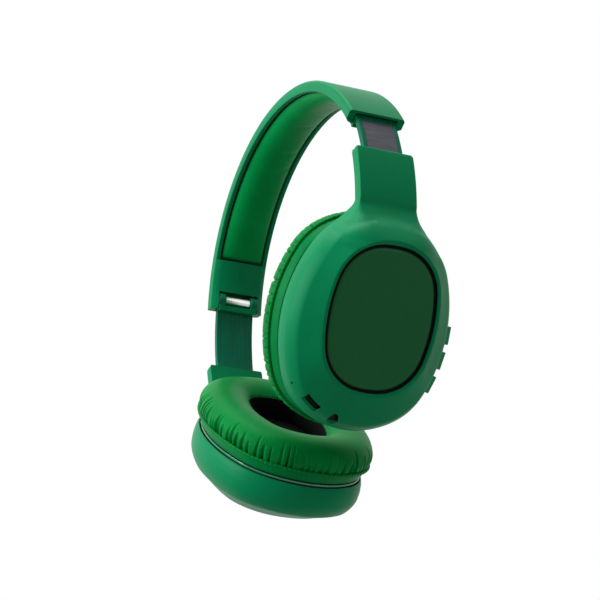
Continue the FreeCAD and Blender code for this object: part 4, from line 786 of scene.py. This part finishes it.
def make_neck_cover(side):
    """Plate pressed flush into the back of the neck, so that no joint line shows."""
    rows, columns = 60, 25
    heights = np.linspace(43.2, NECK_TO_CUP + NECK_LENGTH - 0.03, rows)
    across = np.linspace(-NECK_HALF + 0.35, NECK_HALF - 0.35, columns)
    points = []
    for depth in (-0.03, 0.6):
        y, z = np.meshgrid(across, heights)
        x = back_height(z) + depth
        points += list(zip(*(np.ravel(v) for v in bent(x, y, z))))
    faces = grid_faces(rows, columns)
    sheet = rows * columns
    faces += [tuple(sheet + corner for corner in face) for face in grid_faces(rows, columns)]
    border = list(range(columns)) + [row * columns + columns - 1 for row in range(1, rows)]
    border += [sheet - 2 - k for k in range(columns - 1)]
    border += [row * columns for row in range(rows - 2, 0, -1)]
    for here, onward in zip(border, border[1:] + border[:1]):
        faces.append((here, onward, sheet + onward, sheet + here))
    piece = mesh_piece(side + "_neck_back", points, faces, cup_frame[side], soft_touch, crisp=40)
    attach(piece, side + "_cup")
    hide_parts(side + "_neck_cover")


for side in ("right", "left"):
    make_housing(side)
    make_neck_cover(side)
    dress(side + "_slider_guides", nylon)


# Cover plates.
# An oval plate of dark green ABS lies in the recess of each dome, glued to its floor.
# It is moulded against a polished face and then lightly sanded, which leaves it satin.

cover_abs = moulded_abs("satin_abs_cover", "#015C2B", "#02642F", 0.42)
# Near-black for the groove round each cover plate: painted shade where the groove's shadow falls.
groove_shade_black = moulded_abs("black_painted_groove_shade", "#050605", "#090B09", 0.85)


def make_cover(side):
    outline = inset(RECESS, 1.5)
    profile = [
        # share of the way out, height
        (0.3, 17.88), (0.6, 17.84), (0.85, 17.79), (0.955, 17.76), (0.965, 17.72), (0.99, 17.1),
        (0.997, 17.0), (1.0, 16.85), (1.0, 16.15), (0.98, 16.08),
    ]
    count = 240
    angle = np.linspace(0, 2 * math.pi, count, endpoint=False)
    reach = oval_reach(angle, outline)
    points = [(17.76, 0.0, 0.0)]
    for share, height in profile:
        spot = reach * share
        points += list(zip(np.full(count, height), spot * np.cos(angle), spot * np.sin(angle)))
    faces = dome_faces(len(profile), count)
    base = 1 + (len(profile) - 1) * count
    faces.append(tuple(range(base, base + count)))
    piece = mesh_piece(side + "_cover_plate", points, faces, cup_frame[side], cover_abs, crisp=60)
    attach(piece, side + "_cup")
    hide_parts(side + "_cup_cover")


def make_groove_painted_shade(side):
    """A black sheet on the floor and outer wall of the groove round the cover plate, running a
    little under it: painted shade, standing in for the shadow down in the groove.
    """
    count = 240
    angle = np.linspace(0, 2 * math.pi, count, endpoint=False)
    points = []
    section = (
        (0.03, 17.35), (0.03, 16.04), (2.4, 16.04), (2.4, 16.12), (0.14, 16.12), (0.14, 17.35))
    for by, height in section:
        reach = oval_reach(angle, inset(RECESS, by))
        points += list(zip(np.full(count, height), reach * np.cos(angle), reach * np.sin(angle)))
    faces = grid_faces(len(section), count, close_rows=True, close_columns=True)
    piece = mesh_piece(
        side + "_groove_shade_sheet", points, faces, cup_frame[side], groove_shade_black, crisp=40)
    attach(piece, side + "_cup")


for side in ("right", "left"):
    make_cover(side)
    make_groove_painted_shade(side)


# Trim rings, flanges and welts.
# A glossy ABS ring sits in a groove behind each housing. The cushion's leatherette skirt
# is pulled over a flange and ends at a welt, a cord wrapped in the same leatherette.

def drifting(name, size, detail, low, high, **settings):
    """A moulded or spun surface whose colour drifts between two shades over a given size."""
    material, shader, on_object = new_material(name)
    cloud = add_node(material, "TexNoise", on_object, Scale=per_mm(size), Detail=detail)
    tint = add_node(
        material, "ValToRGB", [(cloud, "Fac", "Fac")], stops=((0.3, low), (0.7, high)))
    set_node(material, shader, [(tint, "Color", "Base Color")], **settings)
    return material


# Polished ABS: a clear, narrow highlight along the ring.
trim_gloss = drifting(
    "polished_abs_trim", 12, 3.0, "#007A50", "#058759", Roughness=0.12, IOR=1.54, Coat_Weight=0.4)
skirt_leather = leatherette("polyurethane_leatherette_skirt", "#00793A", "#028440", 0.9)
cushion_leather = leatherette("polyurethane_leatherette_cushion", "#007A32", "#03883D", 0.8)


def oval_ring(oval, count):
    """Points spread evenly round an oval, their outward normals and the oval's length."""
    angle = np.linspace(0, 2 * math.pi, 4000, endpoint=False)
    reach = oval_reach(angle, (*oval[:5], 0.0))
    ring = np.stack([reach * np.cos(angle), reach * np.sin(angle)], axis=1)
    spots, length = evened(ring, count)
    tangent = np.roll(spots, -1, axis=0) - np.roll(spots, 1, axis=0)
    normal = np.stack([tangent[:, 1], -tangent[:, 0]], axis=1)
    normal /= np.linalg.norm(normal, axis=1)[:, None]
    spots[:, 1] += oval[5]
    return spots, normal, length


WELT_RADIUS = 0.95
WELT_HEIGHT = 0.8
WELT_STITCH = 2.2


def make_welt(side):
    """Wrapped cord round the cushion's foot, pinched a little by each stitch."""
    spots, normal, length = oval_ring(inset(RIM, -0.35), 900)
    stitches = round(length / WELT_STITCH)
    sides = 12
    points = []
    for k, (spot, out) in enumerate(zip(spots, normal)):
        pinch = 1 - 0.22 * abs(math.cos(math.pi * stitches * k / len(spots))) ** 6
        for j in range(sides):
            turn = 2 * math.pi * j / sides
            reach = WELT_RADIUS * pinch * math.cos(turn)
            height = -12.0 + WELT_HEIGHT * pinch * math.sin(turn)
            points.append((height, spot[0] + out[0] * reach, spot[1] + out[1] * reach))
    faces = grid_faces(len(spots), sides, close_rows=True, close_columns=True)
    piece = mesh_piece(side + "_welt", points, faces, cup_frame[side], cushion_leather, crisp=80)
    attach(piece, side + "_cup")


for side in ("right", "left"):
    dress(side + "_trim_ring", trim_gloss, edge=0.2)
    dress(side + "_cushion_flange", skirt_leather, edge=0.3)
    make_welt(side)


# Ear cushions.
# Each cushion is soft foam in leatherette, gathered into puckers where it is sewn to the
# welt, and turned in round the ear opening at a seam whose thread shows.

CUSHION_PROFILE = [
    # inset from the rim, height along the cup's X
    (0.55, -12.0), (-0.15, -12.9), (-0.75, -14.2), (-1.1, -16.0), (-0.85, -18.0), (0.05, -20.0),
    (1.6, -21.9), (3.8, -23.5), (6.6, -24.6), (9.6, -25.1), (12.6, -25.1), (15.4, -24.7),
    (17.9, -23.9), (20.0, -22.7), (21.3, -21.5), (21.7, -20.7), (22.1, -20.4),
]


def curve_through(stops, count):
    """A smooth line through a list of stops, evenly spread by travel."""
    stops = np.array(stops, float)
    padded_stops = np.vstack([2 * stops[0] - stops[1], stops, 2 * stops[-1] - stops[-2]])
    line = []
    for k in range(1, len(padded_stops) - 2):
        a, b, c, d = padded_stops[k - 1:k + 3]
        for share in np.linspace(0, 1, 24, endpoint=False):
            line.append(0.5 * (
                2 * b + (c - a) * share + (2 * a - 5 * b + 4 * c - d) * share ** 2
                + (3 * b - a - 3 * c + d) * share ** 3))
    line = np.array(line + [stops[-1]])
    travel = np.concatenate([[0], np.cumsum(np.linalg.norm(np.diff(line, axis=0), axis=1))])
    wanted = np.linspace(0, travel[-1], count)
    return np.stack([np.interp(wanted, travel, line[:, k]) for k in (0, 1)], axis=1)


def cushion_grid(around, across):
    """Points of the cushion's skin: rows across its section, columns round the cup."""
    profile = curve_through(CUSHION_PROFILE, across)
    rows = []
    for step, height in profile:
        spots, _, _ = oval_ring(inset(RIM, step), around)
        rows.append(np.stack([np.full(around, height), spots[:, 0], spots[:, 1]], axis=1))
    return np.array(rows)


def gathers(around, length, seed):
    """Depth of the sewn puckers round the cushion, in millimetres, and how far each runs up."""
    chance = np.random.default_rng(seed)
    travel = np.arange(around) * length / around
    depth = np.zeros(around)
    spread = np.zeros(around)
    place = 0.0
    while place < length:
        wide = chance.uniform(0.45, 1.05)
        deep = chance.uniform(0.3, 1.0)
        far = chance.uniform(0.25, 1.0)
        off = (travel - place + length / 2) % length - length / 2
        notch = np.exp(-(off / wide) ** 2)
        depth = np.maximum(depth, notch * deep)
        spread = np.where(notch * deep > 0.02, np.maximum(spread, far * notch ** 0.3), spread)
        place += chance.uniform(2.3, 5.2)
    return depth, spread


def make_cushion(side, seed):
    around, across = 1260, 64
    coarse_around, coarse_across = 140, 32
    pull_depth, swell_height = 2.2, 0.35
    grid = cushion_grid(around, across)
    start = cushion_grid(coarse_around, coarse_across)
    sewn_rows = (0, 1, coarse_across - 2, coarse_across - 1)
    pins = [row * coarse_around + k for row in sewn_rows for k in range(coarse_around)]
    flat = [tuple(p) for p in start.reshape(-1, 3)]
    blown = np.array(puffed(flat, coarse_across, coarse_around, pins, 0.6, closed_columns=True))
    push = (blown - np.array(flat)).reshape(coarse_across, coarse_around, 3).mean(axis=1)
    rows_at = np.linspace(0, coarse_across - 1, across)
    for axis in range(3):
        grid[:, :, axis] += np.interp(rows_at, np.arange(coarse_across), push[:, axis])[:, None]
    _, normal, length = oval_ring(RIM, around)
    depth, spread = gathers(around, length, seed)
    wander = np.sin(np.linspace(0, 2 * math.pi * 5, around)) * 0.5 + 0.5
    for row in range(across):
        share = row / (across - 1)
        fade = np.clip(1 - share / (0.10 + 0.28 * spread + 0.04 * wander), 0, 1) ** 0.7
        fade *= min(1.0, 0.35 + share * 18)
        out = ((1 - depth) * swell_height - depth * pull_depth) * fade
        grid[row, :, 1] += normal[:, 0] * out
        grid[row, :, 2] += normal[:, 1] * out
    points = [tuple(p) for p in grid.reshape(-1, 3)]
    faces = grid_faces(across, around, close_columns=True)
    piece = mesh_piece(
        side + "_cushion_skin", points, faces, cup_frame[side], cushion_leather, crisp=80)
    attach(piece, side + "_cup")
    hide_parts(side + "_ear_cushion")


def scrim_cloth():
    """Knitted acoustic cloth: black, matt, a fine open mesh."""
    material, shader, on_object = new_material("knitted_acoustic_cloth")
    knit = add_node(material, "TexVoronoi", on_object, Scale=per_mm(0.9))
    tint = add_node(
        material, "ValToRGB", [(knit, "Distance", "Fac")],
        stops=((0.2, "#050706"), (0.6, "#0C100D")))
    bump = add_node(
        material, "Bump", [(knit, "Distance", "Height")], Strength=0.6, Distance=0.0002)
    set_node(
        material, shader, [(tint, "Color", "Base Color"), (bump, "Normal", "Normal")],
        Roughness=0.9, Specular_IOR_Level=0.1)
    return material


cloth = scrim_cloth()


def make_sleeve(side):
    """A black band round the inner wall of the ear opening, from its seam back towards the
    housing, in the same black material as the cloth over the opening.
    """
    count = 240
    section = ((21.8, -20.7), (22.1, -20.0), (22.0, -16.0), (21.6, -13.0), (21.2, -10.9))
    points = []
    for step, height in section:
        spots, _, _ = oval_ring(inset(RIM, step), count)
        points += [(height, y, z) for y, z in spots]
    faces = grid_faces(len(section), count, close_columns=True)
    piece = mesh_piece(side + "_opening_lining", points, faces, cup_frame[side], cloth, crisp=60)
    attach(piece, side + "_cup")


# Spun polyester thread: dull, twisted, a little lighter than the leatherette.
thread = drifting("spun_polyester_thread", 0.3, 2.0, "#1A8A4C", "#35A868", Roughness=0.75)

SEAM_LENGTH = 138
STITCH_STEP = 1.25
STITCH_LENGTH = 1.5
STITCH_RADIUS = 0.33


def make_stitches(side):
    """Overlock stitches round the ear opening, each a short bead across the seam."""
    spots, normal, _ = oval_ring(inset(RIM, 21.45), round(SEAM_LENGTH / STITCH_STEP))
    tangent = np.stack([-normal[:, 1], normal[:, 0]], axis=1)
    points = []
    faces = []
    rings, sides = 6, 8
    for spot, out, way in zip(spots, normal, tangent):
        start = len(points)
        for i in range(rings):
            share = i / (rings - 1)
            size = STITCH_RADIUS * math.sqrt(max(0.05, 1 - (2 * share - 1) ** 2))
            run = (share - 0.5) * STITCH_LENGTH
            for j in range(sides):
                turn = 2 * math.pi * j / sides
                along = size * math.cos(turn) + run * 0.35
                inward = size * math.sin(turn) + 0.1
                y, z = spot + way * along - out * inward
                points.append((-21.1 + run, y, z))
        bead = grid_faces(rings, sides, close_columns=True)
        bead += [range(sides), range((rings - 1) * sides, rings * sides)]
        faces += [tuple(start + corner for corner in face) for face in bead]
    piece = mesh_piece(side + "_seam_stitches", points, faces, cup_frame[side], thread, crisp=80)
    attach(piece, side + "_cup")


for side, seed in (("right", 11), ("left", 5)):
    make_cushion(side, seed)
    make_sleeve(side)
    make_stitches(side)


# Cloth and guard inside the ear opening.
# A thin black acoustic cloth is stretched over the opening, and behind it a moulded guard
# with holes covers the speaker.

black_abs = moulded_abs("black_moulded_abs", "#0E100F", "#171A18", 0.5)
magnet_nickel = brushed_metal("nickel_plated_magnet", "#8A8A86", "#A6A6A0", 0.25, 0.5, (0,))
film_pet = moulded_abs("pet_speaker_film", "#A8A28C", "#BDB79F", 0.3)
for side in ("right", "left"):
    dress(side + "_ear_scrim", cloth)
    dress(side + "_driver_grille", black_abs)
    dress(side + "_driver_frame", black_abs)
    dress(side + "_driver_magnet", magnet_nickel)
    dress(side + "_driver_diaphragm", film_pet)
    dress(side + "_baffle", tray_abs, edge=0.2)
    dress(side + "_cup_screws", blued_steel)


# Buttons, sockets and electronics of the right cup, battery of the left.
# Three silicone buttons with the same coat stand out of the rim, and a charging socket,
# an audio jack and a microphone hole open in its lower part.

def solder_mask():
    """Green solder mask over copper, mottled between two greens."""
    material, shader, on_object = new_material("solder_mask_on_copper")
    tracks = add_node(material, "TexVoronoi", on_object, Scale=per_mm(3))
    tint = add_node(
        material, "ValToRGB", [(tracks, "Distance", "Fac")],
        stops=((0.1, "#0B5A33"), (0.5, "#063D22")))
    set_node(material, shader, [(tint, "Color", "Base Color")], Roughness=0.3)
    return material


# Coated silicone rubber: dull, a touch softer in its highlight than the shell.
button_rubber = drifting("coated_silicone_button", 6, 2.0, "#03814F", "#058956", Roughness=0.62)
pouch_foil = brushed_metal("aluminium_pouch_foil", "#B8BABA", "#CFD1D1", 0.3, 1.5, (0,))
for node in ("volume_up_button", "multifunction_button", "volume_down_button"):
    dress(node, button_rubber)
# The socket and microphone shells are near-black metal: painted shade standing in for the dark
# inside of their holes.
port_shade_metal = brushed_metal("dark_port_shell_painted_shade", "#141615", "#1F2221", 0.35, 0.4, (0,))
dress("usb_socket", port_shade_metal)
dress("aux_jack", black_abs)
dress("microphone", port_shade_metal)
dress("button_switches", black_abs)
dress("circuit_board", solder_mask())
dress("battery", pouch_foil)


# Floor, light and camera.
# A pale floor lies far below, since the photograph looks up at hanging headphones, and
# broad soft lamps stand to the left, the right and above.

def pale_floor():
    """Matt pale paint. Seen or mirrored it is nearly white, and still takes a faint shadow."""
    material, shader, on_object = new_material("matt_pale_paint")
    cloud = add_node(material, "TexNoise", on_object, Scale=0.8, Detail=2.0)
    tint = add_node(
        material, "ValToRGB", [(cloud, "Fac", "Fac")], stops=((0.3, "#E9EAE9"), (0.7, "#EEEFEE")))
    set_node(material, shader, [(tint, "Color", "Base Color")], Roughness=0.9)
    paths = add_node(material, "LightPath")
    seen = add_node(
        material, "Math", [(paths, "Is Camera Ray", 0), (paths, "Is Glossy Ray", 1)],
        operation="MAXIMUM")
    seen = add_node(
        material, "Math", [(seen, 0, 0), (paths, "Is Transmission Ray", 1)], operation="MAXIMUM")
    share = add_node(material, "MapRange", [(seen, 0, "Value")], To_Min=0.0, To_Max=0.8)
    glow = add_node(material, "Emission", [(tint, "Color", "Color")], Strength=1.05)
    blend = add_node(
        material, "MixShader", [(share, "Result", 0), (shader, "BSDF", 1), (glow, "Emission", 2)])
    output = material.node_tree.nodes["Material Output"]
    set_node(material, output, [(blend, "Shader", "Surface")])
    return material


FLOOR_HALF = 9000
FLOOR_LEVEL = -1300
corners = [(-1, -1), (1, -1), (1, 1), (-1, 1)]
floor = mesh_piece(
    "floor", [(x * FLOOR_HALF, y * FLOOR_HALF, FLOOR_LEVEL) for x, y in corners],
    [(0, 1, 2, 3)], Matrix.Identity(4), pale_floor())

# The camera looks from the front right and from below, as the photograph does.
CAMERA_AZIMUTH = math.radians(-29.0894)
CAMERA_ELEVATION = math.radians(-33.2245)
CAMERA_ROLL = math.radians(-7.6829)
CAMERA_FAR = 975.30
CAMERA_ACROSS = 6.476
CAMERA_DOWN = 87.501
FOCAL_PIXELS = 1953.75
SENSOR_WIDTH = 36.0
PICTURE_WIDTH = 600.0
toward = Vector((
    math.cos(CAMERA_ELEVATION) * math.cos(CAMERA_AZIMUTH),
    math.cos(CAMERA_ELEVATION) * math.sin(CAMERA_AZIMUTH), math.sin(CAMERA_ELEVATION)))
flat_right = Vector((0, 0, 1)).cross(toward).normalized()
flat_up = toward.cross(flat_right)
right = math.cos(CAMERA_ROLL) * flat_right + math.sin(CAMERA_ROLL) * flat_up
up = -math.sin(CAMERA_ROLL) * flat_right + math.cos(CAMERA_ROLL) * flat_up
eye = right * CAMERA_ACROSS - up * CAMERA_DOWN + toward * CAMERA_FAR
eye = (eye + Vector((0, 0, CROWN_DEPTH))) * 0.001
camera_data = bpy.data.cameras.new("camera")
camera_data.sensor_width = SENSOR_WIDTH
camera_data.lens = FOCAL_PIXELS * SENSOR_WIDTH / PICTURE_WIDTH
camera = bpy.data.objects.new("camera", camera_data)
facing = Matrix((right, up, toward)).transposed().to_4x4()
camera.matrix_world = Matrix.Translation(eye) @ facing
bpy.context.scene.collection.objects.link(camera)
bpy.context.scene.camera = camera

middle = Vector((0.0, 0.0, -0.08))


def lamp(name, across, height, depth, size, power):
    """A square soft lamp, placed across, above and before the object as the camera sees it."""
    data = bpy.data.lights.new(name, "AREA")
    data.shape = "SQUARE"
    data.size = size
    data.energy = power
    light = bpy.data.objects.new(name, data)
    spot = middle + right * across + up * height + toward * depth
    aim = (middle - spot).to_track_quat("-Z", "Y")
    light.matrix_world = Matrix.Translation(spot) @ aim.to_matrix().to_4x4()
    bpy.context.scene.collection.objects.link(light)


lamp("left_softbox", -0.95, 0.35, 0.25, 0.6, 10.5)
lamp("right_softbox", 0.75, 0.40, 0.65, 0.8, 1.0)
lamp("top_softbox", -0.15, 1.0, -0.1, 0.8, 8.0)

world = bpy.data.worlds.new("studio")
bpy.context.scene.world = world
world.use_nodes = True
paths = add_node(world, "LightPath")
seen = add_node(
    world, "Math", [(paths, "Is Camera Ray", 0), (paths, "Is Transmission Ray", 1)],
    operation="MAXIMUM")
mirrored = add_node(
    world, "Math", [(seen, 0, 0), (paths, "Is Glossy Ray", 1)], operation="MAXIMUM")
strength = add_node(world, "MapRange", [(mirrored, 0, "Value")], To_Min=0.15, To_Max=1.0)
set_node(
    world, world.node_tree.nodes["Background"], [(strength, "Result", "Strength")],
    Color=(1.0, 1.0, 1.0, 1.0))
bpy.context.scene.view_settings.view_transform = "Standard"
